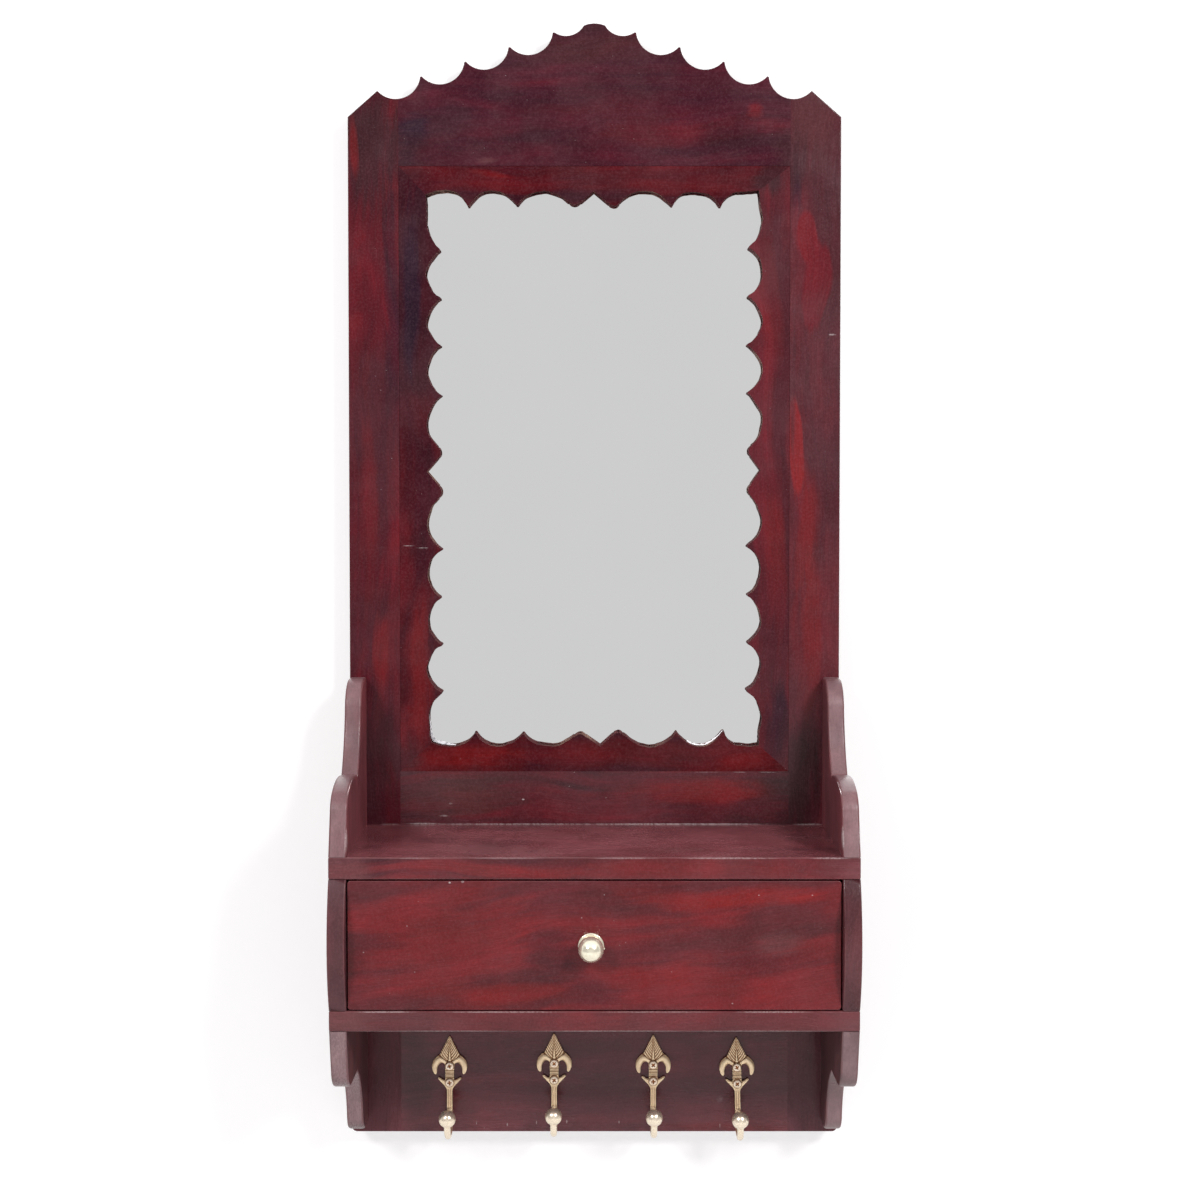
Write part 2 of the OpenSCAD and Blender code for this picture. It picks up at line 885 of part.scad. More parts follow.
// Coat hooks
// Heights on a hook's plate are measured from its screws
hook_rim = 0.4;
leaf_foot = 3.5;
leaf_shoulder = 8;
leaf_bow = 0.8;
volute_rise = 1;
volute_gap_drop = 1.5;
wing_root = [0, -4.5];
wing_crook = 0.6;
wing_tip = [wing_x, 2.2];
wing_tip_h = 1;

// A volute curls out from the collar and has an open gap inside it
module volute() {
    centre = [collar_w / 2 + volute_gap_r, hook_screw_gap + volute_rise];
    gap_z = centre.y - volute_gap_drop;
    difference() {
        translate(centre)
            circle(volute_r);
        translate([centre.x, gap_z])
            circle(volute_gap_r);
        translate([centre.x - volute_gap_r, gap_z - 2 * volute_r])
            square([2 * volute_gap_r, 2 * volute_r]);
        translate([centre.x - volute_r - past, gap_z - 2 * volute_r])
            square([volute_r + past, 2 * volute_r]);
    }
}

// The flat outline of a hook's plate, with the lower screw at the origin
module hook_outline() {
    leaf_z = hook_screw_gap + leaf_foot;
    leaf_tip = [hook_rim, hook_screw_gap + leaf_h];
    leaf_side = [leaf_w, hook_screw_gap + leaf_shoulder];
    polygon(concat(
        [[-collar_w / 2, leaf_z], [collar_w / 2, leaf_z]],
        bow(leaf_side, leaf_tip, -leaf_bow, 6),
        bow([-leaf_tip.x, leaf_tip.y], [-leaf_side.x, leaf_side.y], -leaf_bow, 6)
    ));
    for (side = [0, 1])
        mirror([side, 0]) {
            volute();
            polygon([
                wing_root, [stem_w / 2, wing_root.y], wing_tip, wing_tip + [-wing_crook, wing_tip_h],
                [collar_w / 2, wing_crook], [0, wing_crook],
            ]);
        }
    translate([-collar_w / 2, 0])
        square([collar_w, leaf_z]);
    for (z = hook_screw_zs)
        translate([0, z])
            circle(hook_head_r + hook_rim);
    translate([-stem_w / 2, -throw_drop])
        square([stem_w, throw_drop]);
}

// The J is half a ring below its centre, and the ball sits on its front end
module hook_throw() {
    translate([0, -rod_r - throw_r, -throw_drop])
        rotate([90, 180, 90])
            rotate_extrude(angle = 180)
                translate([throw_r, 0])
                    circle(rod_r);
    translate([0, -rod_r - 2 * throw_r, ball_rise - throw_drop])
        sphere(ball_r);
}

module coat_hook(i) {
    color(BRASS)
        at_hook(i)
            difference() {
                union() {
                    upright(-hook_t, 0)
                        hook_outline();
                    hook_throw();
                }
                for (z = hook_screw_zs)
                    translate([0, past, z])
                        rotate([90, 0, 0])
                            cylinder(r = hook_shank_r + glue_gap, h = hook_t + 2 * past);
            }
}

module coat_hook_1() coat_hook(0);
module coat_hook_2() coat_hook(1);
module coat_hook_3() coat_hook(2);
module coat_hook_4() coat_hook(3);

module hook_screws() {
    color(BRASS) {
        hook_screw_shanks();
        for (i = [0:len(hook_x) - 1])
            at_hook(i)
                for (z = hook_screw_zs)
                    translate([0, -hook_t, z])
                        rotate([90, 0, 0])
                            cylinder(r1 = hook_head_r, r2 = hook_head_top_share * hook_head_r, h = hook_head_t);
    }
}

// Hanger plates let in flush at the back
module hanger_plate(x) {
    color(STEEL)
        difference() {
            translate([x, 0, hanger_z])
                upright(-hanger_t, 0)
                    difference() {
                        hanger_outline();
                        keyhole_outline(keyhole_r, keyhole_slot_w, keyhole_slot_w / 2);
                    }
            hanger_screw_rods(x, glue_gap);
        }
}

module left_hanger_plate() hanger_plate(-stile_mid_x);
module right_hanger_plate() hanger_plate(stile_mid_x);

module hanger_screws() {
    color(STEEL)
        for (x = [-stile_mid_x, stile_mid_x])
            hanger_screw_rods(x);
}

left_stile();
right_stile();
crest_rail();
lower_rail();
hook_board();
scallop_top();
scallop_bottom();
scallop_left();
scallop_right();
mirror_glass();
backing_board();
backing_pins();
panel_dowels();
shelf_board();
bottom_board();
left_case_side();
right_case_side();
left_upper_bracket();
right_upper_bracket();
left_lower_bracket();
right_lower_bracket();
case_dowels();
case_screws();
drawer_front();
drawer_left_side();
drawer_right_side();
drawer_back();
drawer_bottom();
drawer_dowels();
drawer_brads();
drawer_knob();
knob_screw();
coat_hook_1();
coat_hook_2();
coat_hook_3();
coat_hook_4();
hook_screws();
left_hanger_plate();
right_hanger_plate();
hanger_screws();
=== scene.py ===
"""Looks of a wooden wall mirror with a shelf, a drawer and four coat hooks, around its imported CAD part."""

import json
import math

import bmesh
import bpy
from mathutils import Matrix, Vector, noise


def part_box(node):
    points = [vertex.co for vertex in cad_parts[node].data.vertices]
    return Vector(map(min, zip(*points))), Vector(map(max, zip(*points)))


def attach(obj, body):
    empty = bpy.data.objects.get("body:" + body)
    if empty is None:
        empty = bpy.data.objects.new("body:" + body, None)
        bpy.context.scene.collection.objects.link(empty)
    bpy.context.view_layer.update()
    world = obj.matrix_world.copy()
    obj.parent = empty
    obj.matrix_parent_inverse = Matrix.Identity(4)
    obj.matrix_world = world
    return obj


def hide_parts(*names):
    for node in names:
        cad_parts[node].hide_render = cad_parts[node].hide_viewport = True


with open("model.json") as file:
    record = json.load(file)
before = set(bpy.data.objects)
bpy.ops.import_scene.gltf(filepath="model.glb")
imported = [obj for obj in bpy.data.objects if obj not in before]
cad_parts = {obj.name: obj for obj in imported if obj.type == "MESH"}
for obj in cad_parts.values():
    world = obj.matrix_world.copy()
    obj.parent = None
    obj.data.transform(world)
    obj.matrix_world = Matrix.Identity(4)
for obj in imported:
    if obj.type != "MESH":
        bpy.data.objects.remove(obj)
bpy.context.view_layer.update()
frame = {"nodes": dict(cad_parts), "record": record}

MM = 0.001
NODES = frame["nodes"]
BODY_OF = {n: b for b, ns in frame["record"]["behaviour"]["bodies"].items() for n in ns}
SLOT_OF = {s["node"]: s["material_slot"] for s in frame["record"]["subparts"]}


# ---------------------------------------------------------------- materials

class Paint:
    """A material's node tree, with short ways to add nodes to it."""

    def __init__(self, name):
        self.material = bpy.data.materials.new(name)
        self.material.use_nodes = True
        self.tree = self.material.node_tree
        self.tree.nodes.clear()
        self.shader = self.tree.nodes.new("ShaderNodeBsdfPrincipled")
        self.out = self.tree.nodes.new("ShaderNodeOutputMaterial")
        self.link(self.shader.outputs[0], self.out.inputs[0])
        self.place = self.tree.nodes.new("ShaderNodeTexCoord").outputs["Object"]

    def link(self, a, b):
        self.tree.links.new(a, b)

    def feed(self, socket, value):
        if isinstance(value, bpy.types.NodeSocket):
            self.link(value, socket)
        elif hasattr(value, "__len__") and len(value) == 3 and socket.type == "RGBA":
            socket.default_value = (*value, 1)
        else:
            socket.default_value = value

    def node(self, kind, inputs=(), **settings):
        made = self.tree.nodes.new(kind)
        for key, value in settings.items():
            setattr(made, key, value)
        for key, value in dict(inputs).items():
            self.feed(made.inputs[key], value)
        return made

    def math(self, operation, a, b=0.0, clamp=False):
        return self.node("ShaderNodeMath", {0: a, 1: b}, operation=operation, use_clamp=clamp).outputs[0]

    def vector(self, operation, a, b):
        return self.node("ShaderNodeVectorMath", {0: a, 1: b}, operation=operation).outputs[0]

    def length(self, a):
        return self.node("ShaderNodeVectorMath", {0: a}, operation="LENGTH").outputs["Value"]

    def noise(self, place, scale, detail=2.0, rough=0.5, warp=0.0):
        made = self.node(
            "ShaderNodeTexNoise",
            {"Vector": place, "Scale": scale, "Detail": detail, "Roughness": rough, "Distortion": warp},
        )
        return made.outputs["Fac"], made.outputs["Color"]

    def ramp(self, value, low, high, to_low=0.0, to_high=1.0, smooth=True):
        """value from low..high to to_low..to_high, held at the ends."""
        return self.node(
            "ShaderNodeMapRange",
            {"Value": value, "From Min": low, "From Max": high, "To Min": to_low, "To Max": to_high},
            interpolation_type="SMOOTHSTEP" if smooth else "LINEAR",
        ).outputs[0]

    def mix(self, factor, a, b, blend="MIX"):
        made = self.node("ShaderNodeMix", data_type="RGBA", blend_type=blend)
        self.feed(made.inputs["Factor"], factor)
        self.feed(made.inputs["A"], a)
        self.feed(made.inputs["B"], b)
        return made.outputs["Result"]

    def bump(self, height, distance, strength=1.0, under=None):
        inputs = {"Height": height, "Distance": distance, "Strength": strength}
        if under is not None:
            inputs["Normal"] = under
        return self.node("ShaderNodeBump", inputs).outputs[0]

    def set(self, **sockets):
        names = {"colour": "Base Color", "rough": "Roughness", "metal": "Metallic", "normal": "Normal"}
        for key, value in sockets.items():
            self.feed(self.shader.inputs[names.get(key, key)], value)


# How much shorter the pattern is along the grain
ALONG = {"x": (0.12, 1, 1), "y": (1, 0.12, 1), "z": (1, 1, 0.12)}

# Stains, as the wood's own colour without its gloss
MAROON = (0.068, 0.0055, 0.012)
DARK = (0.030, 0.0035, 0.0085)
RED = (0.170, 0.0075, 0.009)
BRIGHT = (0.290, 0.008, 0.006)
INK = (0.012, 0.005, 0.015)
BROWN = (0.050, 0.012, 0.012)
# Bare sawn wood, made paler where the dulled walls lose their reflection: partly painted sheen
SAWN_AND_SHEEN, SAWN_PALE_AND_SHEEN = (0.078, 0.020, 0.022), (0.215, 0.130, 0.100)
# Paler colour of the bevels: rubbed edges and painted sheen
WORN_AND_SHEEN = (0.150, 0.050, 0.055)
# Pale colour of specks and marks: real dust, and on some edges painted glints
DUST_AND_GLINT = (0.55, 0.46, 0.46)
FILM = (0.130, 0.075, 0.085)


def stained(
    name, grain, seed, mid=MAROON, dark=DARK, red=RED, redness=0.5, patches=(), marks=(), gloss=0.19, shine=0.30,
    tints=(), worn_and_sheen=0.7, rough_edges=False, lean=0.0, dull=None,
):
    """Wood under a dark stain and varnish. A patch is (centre mm, radii mm, colour, strength), and a fifth value makes
    its rim crisp; some patches are painted shadow. Lean turns the grain by some degrees. A mark is a small pale spot of
    (centre mm, radii mm, strength): specks, and on some edges painted glints. A tint is (axis, from, to, colour,
    strength) and grows with how far a face looks along that axis; some tints paint light and shade by how a face turns.
    Rough edges have no varnish on the sawn sides, whose paler colour is partly painted sheen. Dull is (axis, from, to,
    least roughness at from, and at to), by how far a face looks along that axis."""
    p = Paint(name)
    drift = p.vector("ADD", p.place, (0.37 * seed, 0.71 * seed, 0.53 * seed))
    _, bend = p.noise(drift, 7.0, 2.0)
    bent = p.vector("ADD", drift, p.vector("MULTIPLY", bend, (0.03, 0.03, 0.03)))
    turned = p.node("ShaderNodeVectorRotate", {"Vector": bent, "Angle": math.radians(lean)}, rotation_type="Y_AXIS")
    fibre = p.vector("MULTIPLY", turned.outputs[0], ALONG[grain])
    bands, _ = p.noise(fibre, 38.0, 3.0, 0.55, 0.6)
    streaks, _ = p.noise(fibre, 150.0, 4.0, 0.6, 0.4)
    blots, _ = p.noise(drift, 22.0, 4.0, 0.6)
    hairs, _ = p.noise(p.vector("MULTIPLY", fibre, tuple(0.25 if a < 1 else 1 for a in ALONG[grain])), 900.0, 2.0, 0.6)

    colour = p.mix(p.ramp(bands, 0.38, 0.60), dark, mid)
    reds = p.math("MULTIPLY", p.ramp(bands, 0.50, 0.72), p.ramp(blots, 0.40, 0.62))
    colour = p.mix(p.math("MULTIPLY", reds, redness), colour, red)
    for centre, radii, paint, strength, *crisp in patches:
        away = p.vector("SUBTRACT", bent, tuple(c * MM + 0.015 + s * seed for c, s in zip(centre, (0.37, 0.71, 0.53))))
        away = p.length(p.vector("DIVIDE", away, tuple(r * MM for r in radii)))
        fray = 0.12 if crisp else 0.30
        edge = p.math("ADD", away, p.ramp(streaks, 0.3, 0.7, -fray, fray, False))
        colour = p.mix(p.ramp(edge, 0.80 if crisp else 0.35, 1.05 if crisp else 1.15, strength, 0.0), colour, paint)
    look = p.node("ShaderNodeSeparateXYZ", {0: p.node("ShaderNodeNewGeometry").outputs["True Normal"]})
    for axis, start, end, paint, strength in tints:
        along = look.outputs[axis] if axis == "Z" else p.math("ABSOLUTE", look.outputs[axis])
        some = p.math("MULTIPLY", p.ramp(along, start, end, 0.0, strength), p.ramp(blots, 0.25, 0.65, 0.65, 1.1))
        colour = p.mix(some, colour, paint)
    shade = p.math("MULTIPLY", p.ramp(streaks, 0.30, 0.70, 0.87, 1.12, False), p.ramp(blots, 0.3, 0.7, 0.86, 1.12))
    shade = p.math("MULTIPLY", shade, p.ramp(hairs, 0.35, 0.6, 0.90, 1.03))
    grit, _ = p.noise(drift, 620.0, 3.0, 0.7)
    shade = p.math("MULTIPLY", shade, p.ramp(grit, 0.3, 0.7, 0.88, 1.12, False))
    grey = p.node("ShaderNodeCombineColor", {0: shade, 1: shade, 2: shade}).outputs[0]
    colour = p.mix(1.0, colour, grey, "MULTIPLY")

    haze, _ = p.noise(drift, 14.0, 5.0, 0.65)
    film = p.math("ADD", p.ramp(grit, 0.42, 0.68, 0.0, 0.11), p.ramp(haze, 0.40, 0.62, 0.0, 0.09))
    colour = p.mix(film, colour, FILM)
    # The bevels' middles turn paler: rubbed edges and painted sheen
    wear_and_sheen = p.node("ShaderNodeAttribute", attribute_name="wear_and_sheen").outputs["Fac"]
    wear_and_sheen = p.math("MULTIPLY", wear_and_sheen, p.ramp(blots, 0.35, 0.6, 0.1, worn_and_sheen))
    colour = p.mix(wear_and_sheen, colour, WORN_AND_SHEEN)

    cells = p.node("ShaderNodeTexVoronoi", {"Vector": drift, "Scale": 260.0})
    chosen = p.ramp(p.node("ShaderNodeSeparateColor", {0: cells.outputs["Color"]}).outputs[0], 0.88, 1.0, 0.0, 0.55, False)
    speck = p.math("MULTIPLY", chosen, p.math("LESS_THAN", cells.outputs["Distance"], 0.07))
    colour = p.mix(p.math("MULTIPLY", speck, p.ramp(haze, 0.42, 0.58, 0.25, 1.0)), colour, DUST_AND_GLINT)
    # Marks: pale spots, some of them painted glints on edges
    for centre, radii, strength in marks:
        away = p.vector("SUBTRACT", drift, tuple(c * MM + s * seed for c, s in zip(centre, (0.37, 0.71, 0.53))))
        away = p.length(p.vector("DIVIDE", away, tuple(r * MM for r in radii)))
        some = p.math("MULTIPLY", p.ramp(away, 0.45, 1.0, strength, 0.0), p.ramp(grit, 0.38, 0.56, 0.3, 1.0))
        colour = p.mix(some, colour, DUST_AND_GLINT)

    rough = p.math("ADD", p.ramp(haze, 0.35, 0.7, gloss - 0.04, gloss + 0.12), p.ramp(hairs, 0.4, 0.7, 0.0, 0.06))
    if rough_edges:
        sawn = p.ramp(p.math("ABSOLUTE", look.outputs["Y"]), 0.45, 0.95, 0.95, 0.0)
        rough = p.math("MAXIMUM", rough, sawn)
        # The sawn walls take a paler bare-wood colour: partly painted sheen
        colour = p.mix(sawn, colour, p.mix(p.ramp(blots, 0.48, 0.68), SAWN_AND_SHEEN, SAWN_PALE_AND_SHEEN))
    if dull:
        axis, *limits = dull
        rough = p.math("MAXIMUM", rough, p.ramp(p.math("ABSOLUTE", look.outputs[axis]), *limits))
    soft = p.bump(p.noise(drift, 30.0, 2.0)[0], 0.0007)
    fine = p.bump(p.math("ADD", hairs, p.math("MULTIPLY", streaks, 0.7)), 0.00006, under=soft)
    p.set(colour=colour, rough=rough, normal=fine)
    p.shader.inputs["Specular IOR Level"].default_value = shine
    return p.material


def raw_wood(name, grain, seed, pale, deep):
    """Bare wood of the drawer's box and of the dowels."""
    p = Paint(name)
    drift = p.vector("ADD", p.place, (0.31 * seed, 0.47 * seed, 0.67 * seed))
    _, bend = p.noise(drift, 6.0, 2.0)
    fibre = p.vector("MULTIPLY", p.vector("ADD", drift, p.vector("MULTIPLY", bend, (0.03, 0.03, 0.03))), ALONG[grain])
    bands, _ = p.noise(fibre, 45.0, 4.0, 0.6, 0.5)
    hairs, _ = p.noise(fibre, 420.0, 3.0, 0.6)
    colour = p.mix(p.ramp(bands, 0.35, 0.65), deep, pale)
    colour = p.mix(p.ramp(hairs, 0.55, 0.75, 0.0, 0.45), colour, tuple(0.45 * c for c in deep))
    p.set(colour=colour, rough=p.ramp(hairs, 0.3, 0.7, 0.62, 0.8), normal=p.bump(hairs, 0.00008))
    return p.material


def brass(name, shine, tarnish, rough, tarnish_amount, metal=1.0):
    """Cast brass: darker where the attribute 'recess' says so, and polished where it is high."""
    p = Paint(name)
    recess = p.node("ShaderNodeAttribute", attribute_name="recess").outputs["Fac"]
    polish = p.node("ShaderNodeAttribute", attribute_name="polish").outputs["Fac"]
    cloud, _ = p.noise(p.place, 260.0, 4.0, 0.6)
    grit, _ = p.noise(p.place, 2400.0, 2.0, 0.5)
    dirt = p.math("ADD", recess, p.ramp(cloud, 0.40, 0.72, 0.0, tarnish_amount), clamp=True)
    p.set(
        colour=p.mix(p.math("MULTIPLY", polish, 0.7), p.mix(dirt, shine, tarnish), (0.96, 0.86, 0.72)),
        metal=metal,
        rough=p.math("ADD", p.ramp(cloud, 0.35, 0.7, rough, rough + 0.10), p.math("SUBTRACT", p.math("MULTIPLY", recess, 0.25), p.math("MULTIPLY", polish, 0.10))),
        normal=p.bump(p.math("ADD", cloud, p.math("MULTIPLY", grit, 0.4)), 0.00006),
    )
    return p.material


def steel(name):
    p = Paint(name)
    cloud, _ = p.noise(p.place, 180.0, 4.0, 0.6)
    lines, _ = p.noise(p.vector("MULTIPLY", p.place, (1, 1, 0.05)), 2500.0, 2.0)
    p.set(
        colour=p.mix(p.ramp(cloud, 0.35, 0.7), (0.40, 0.40, 0.42), (0.62, 0.62, 0.61)),
        metal=1.0,
        rough=p.ramp(cloud, 0.3, 0.7, 0.28, 0.45),
        normal=p.bump(lines, 0.00003),
    )
    return p.material


def hardboard(name):
    p = Paint(name)
    cloud, _ = p.noise(p.place, 35.0, 5.0, 0.6)
    mesh_x = p.math("SINE", p.math("MULTIPLY", p.node("ShaderNodeSeparateXYZ", {0: p.place}).outputs["X"], 3200.0))
    mesh_z = p.math("SINE", p.math("MULTIPLY", p.node("ShaderNodeSeparateXYZ", {0: p.place}).outputs["Z"], 3200.0))
    flecks, _ = p.noise(p.place, 900.0, 3.0, 0.7)
    colour = p.mix(p.ramp(cloud, 0.35, 0.65), (0.145, 0.080, 0.042), (0.235, 0.140, 0.078))
    colour = p.mix(p.ramp(flecks, 0.55, 0.75, 0.0, 0.5), colour, (0.08, 0.042, 0.024))
    p.set(
        colour=colour,
        rough=p.ramp(flecks, 0.3, 0.7, 0.6, 0.78),
        normal=p.bump(p.math("MULTIPLY", mesh_x, mesh_z), 0.00008),
    )
    return p.material


def silvered(name):
    p = Paint(name)
    film, _ = p.noise(p.place, 9.0, 3.0, 0.5)
    p.set(
        colour=p.mix(p.ramp(film, 0.3, 0.7), (0.945, 0.947, 0.947), (0.955, 0.957, 0.957)),
        metal=1.0,
        rough=p.ramp(film, 0.3, 0.7, 0.012, 0.03),
    )
    return p.material


# ---------------------------------------------------------------- pieces

def finish_piece(obj, node, material, nodes=None):
    """The piece rides on its node's body, stands for the node, whose parts it hides, and takes the given material."""
    obj.data.materials.clear()
    obj.data.materials.append(material)
    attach(obj, BODY_OF[node])
    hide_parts(*(nodes or [node]))
    return obj


def new_object(name, bm):
    mesh = bpy.data.meshes.new(name)
    bm.to_mesh(mesh)
    bm.free()
    obj = bpy.data.objects.new(name, mesh)
    bpy.context.scene.collection.objects.link(obj)
    return obj


def smooth(obj, angle=32.0):
    """Smooth shading, with flat faces kept flat beside their bevels."""
    obj.data.shade_smooth()
    obj.data.set_sharp_from_angle(angle=math.radians(angle))
    weighted = obj.modifiers.new("weighted", "WEIGHTED_NORMAL")
    weighted.keep_sharp = True
    return obj


def groups_of(edges):
    """The edges in connected groups."""
    left = set(edges)
    while left:
        group, open_edges = [], [left.pop()]
        while open_edges:
            edge = open_edges.pop()
            group.append(edge)
            for vert in edge.verts:
                for other in vert.link_edges:
                    if other in left:
                        left.remove(other)
                        open_edges.append(other)
        yield group


def on_plane(edge, plane):
    axis, value = plane
    return all(abs(v.co["xyz".index(axis)] - value * MM) < 0.12 * MM for v in edge.verts)


def mitred_edge(edge):
    """Is this edge on a mitre of the mirror frame?"""
    low, high = MITRE_BOX
    for corner in [(x, z) for x in (low[0], high[0]) for z in (low[1], high[1])]:
        if all(
            abs(abs(v.co.x - corner[0] * MM) - abs(v.co.z - corner[1] * MM)) < 0.05 * MM
            and abs(v.co.x - corner[0] * MM) < 40 * MM
            for v in edge.verts
        ):
            return True
    return False


def hand_cut(bm, amount):
    """Makes the scallops inside the mirror frame a little uneven, as a fretsaw leaves them."""
    low, high = MITRE_BOX
    for v in bm.verts:
        x, z = v.co.x / MM, v.co.z / MM
        if low[0] + 1 < x < high[0] - 1 and low[1] + 1 < z < high[1] - 1:
            slow = noise.noise_vector(Vector((x * 0.09, z * 0.09, 2.3)))
            fast = noise.noise_vector(Vector((x * 0.45, z * 0.45, 7.1)))
            shift = (slow + 0.25 * fast) * amount
            v.co.x += shift.x * MM
            v.co.z += shift.y * MM


# The corners of the opening in the mirror frame, (x, z) in millimetres
OPENING_CORNERS = ((-121.9, 684.0), (119.0, 686.5), (-118.7, 286.9), (119.8, 284.0))


def drawn_corners(bm, reach=15.0, near=7.0):
    """Draws the ends of the lobes beside each mitre into the corners of the opening."""
    for face in [f for f in bm.faces if abs(f.normal.y) > 0.99 and len(f.verts) > 60]:
        loop = list(face.verts)
        count = len(loop)
        for corner in OPENING_CORNERS:
            tip = Vector((corner[0] * MM, loop[0].co.y, corner[1] * MM))
            ends = []
            for i, edge in enumerate(face.edges):
                if mitred_edge(edge):
                    for v in edge.verts:
                        ends.append(((v.co - tip).length, loop.index(v), loop.index(edge.other_vert(v))))
            if not ends or min(ends)[0] > near * MM:
                continue
            _, start, other = min(ends)
            step = -1 if other == (start + 1) % count else 1
            chain = [loop[start]]
            while (chain[-1].co - tip).length < reach * MM:
                chain.append(loop[(start + step * len(chain)) % count])
            end = chain[-1].co.copy()
            flat = abs(end.x - tip.x) > abs(end.z - tip.z)
            bend = Vector(((tip.x + end.x) / 2 if flat else end.x, tip.y, end.z if flat else (tip.z + end.z) / 2))
            spans = [0.0]
            for a, b in zip(chain, chain[1:]):
                spans.append(spans[-1] + (b.co - a.co).length)
            for v, span in zip(chain, spans):
                t = span / spans[-1]
                v.co = tip * (1 - t) ** 2 + bend * 2 * t * (1 - t) + end * t ** 2


def rounded_corners(bm, node, radius):
    """Rounds the four corners that a board shows from the front."""
    low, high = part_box(node)
    posts = [
        e for e in bm.edges
        if all(min(abs(v.co.x - low[0]), abs(v.co.x - high[0])) < 1e-5 for v in e.verts)
        and all(min(abs(v.co.z - low[2]), abs(v.co.z - high[2])) < 1e-5 for v in e.verts)
        and abs(e.verts[0].co.y - e.verts[1].co.y) > 1e-4
    ]
    bmesh.ops.bevel(bm, geom=posts, offset=radius * MM, offset_type="OFFSET", segments=5, profile=0.5, affect="EDGES")


def opened_pockets(bm, skin=0.1):
    """Opens the pockets of the screws' heads, which the board's back covers by skin mm."""
    def flat_at(depth):
        return [
            f for f in bm.faces
            if abs(f.normal.y) > 0.99 and all(abs(v.co.y + depth * MM) < 0.02 * MM for v in f.verts)
        ]

    back, caps = flat_at(0.0), flat_at(skin)
    gone = set(back + caps)
    edges = {e for f in gone for e in f.edges}
    rims = [e for e in edges if any(f not in gone for f in e.link_faces)]
    for v in {v for f in caps for v in f.verts}:
        v.co.y = 0.0
    bmesh.ops.delete(bm, geom=list(gone), context="FACES_ONLY")
    bmesh.ops.delete(bm, geom=[e for e in edges if not e.link_faces], context="EDGES")
    bmesh.ops.triangle_fill(bm, use_beauty=True, use_dissolve=False, edges=rims, normal=(0, 1, 0))


def eased(node, width, on=None, off=(), steps=3, hole=150.0, mitre=False, uneven=0.0, corner=0.0, pockets=False):
    """A copy of a CAD board with its long sharp edges rounded: those on the planes in on, and none on those in off.
    Edges of holes, whose outline is shorter than hole mm, stay as they are."""
    bm = bmesh.new()
    bm.from_mesh(NODES[node].data)
    layer = bm.verts.layers.float.new("wear_and_sheen")
    bmesh.ops.remove_doubles(bm, verts=bm.verts, dist=2e-6)
    bmesh.ops.dissolve_limit(bm, angle_limit=math.radians(0.5), verts=bm.verts, edges=bm.edges)
    if corner:
        rounded_corners(bm, node, corner)
    sharp = [
        e for e in bm.edges
        if e.is_manifold and e.calc_face_angle(0) > math.radians(28)
        and (on is None or any(on_plane(e, p) for p in on))
    ]
    kept = []
    for group in groups_of(sharp):
        if sum(e.calc_length() for e in group) > hole * MM:
            kept += [e for e in group if not any(on_plane(e, p) for p in off)]
    if mitre:
        kept = [e for e in kept if not mitred_edge(e)]
    if mitre:
        drawn_corners(bm)
    if uneven:
        hand_cut(bm, uneven)
    made = bmesh.ops.bevel(
        bm, geom=kept, offset=width * MM, offset_type="OFFSET", segments=steps, profile=0.5,
        affect="EDGES", clamp_overlap=True, miter_outer="SHARP",
    )
    bevels = set(made["faces"])
    # The bevels' middles are marked for a paler colour: rubbed edges and painted sheen
    inner = {v for v in made["verts"] if v.is_valid and all(f in bevels for f in v.link_faces)}
    for v in inner:
        v[layer] = 1.0
    if pockets:
        opened_pockets(bm)
    return smooth(new_object(f"{node}_board", bm))


def lathe(profile, turns=64):
    """A turned shape about Z from a profile of (radius, height), in millimetres."""
    bm = bmesh.new()
    rings = []
    for r, z in profile:
        if r < 1e-6:
            rings.append([bm.verts.new((0, 0, z * MM))])
        else:
            rings.append([
                bm.verts.new((r * MM * math.cos(a), r * MM * math.sin(a), z * MM))
                for a in (2 * math.pi * i / turns for i in range(turns))
            ])
    for low, high in zip(rings, rings[1:]):
        for i in range(turns):
            j = (i + 1) % turns
            quad = [low[i % len(low)], low[j % len(low)], high[j % len(high)], high[i % len(high)]]
            quad = list(dict.fromkeys(quad))
            if len(quad) > 2:
                bm.faces.new(quad)
    bmesh.ops.recalc_face_normals(bm, faces=bm.faces)
    return bm


def arc(centre, radius, start, end, steps):
    return [
        (centre[0] + radius * math.cos(math.radians(a)), centre[1] + radius * math.sin(math.radians(a)))
        for a in (start + (end - start) * i / steps for i in range(steps + 1))
    ]


# Boards, in millimetres in the row frame
HALF_W, INNER_X, PANEL_T, CASE_Y = 178.0, 141.5, 18.0, -136.0
BOTTOM_Z, BAY_Z, SHELF_Z, SHELF_TOP_Z = 109.0, 123.0, 211.5, 226.5
JOINT_Z, FRAME_Z, FRAME_TOP_Z = 167.25, 265.5, 704.5
MITRE_BOX = ((-INNER_X, FRAME_Z), (INNER_X, FRAME_TOP_Z))
PANEL_FACES = [("y", -PANEL_T), ("y", 0.0)]
INNER_SIDES = [("x", -INNER_X), ("x", INNER_X)]

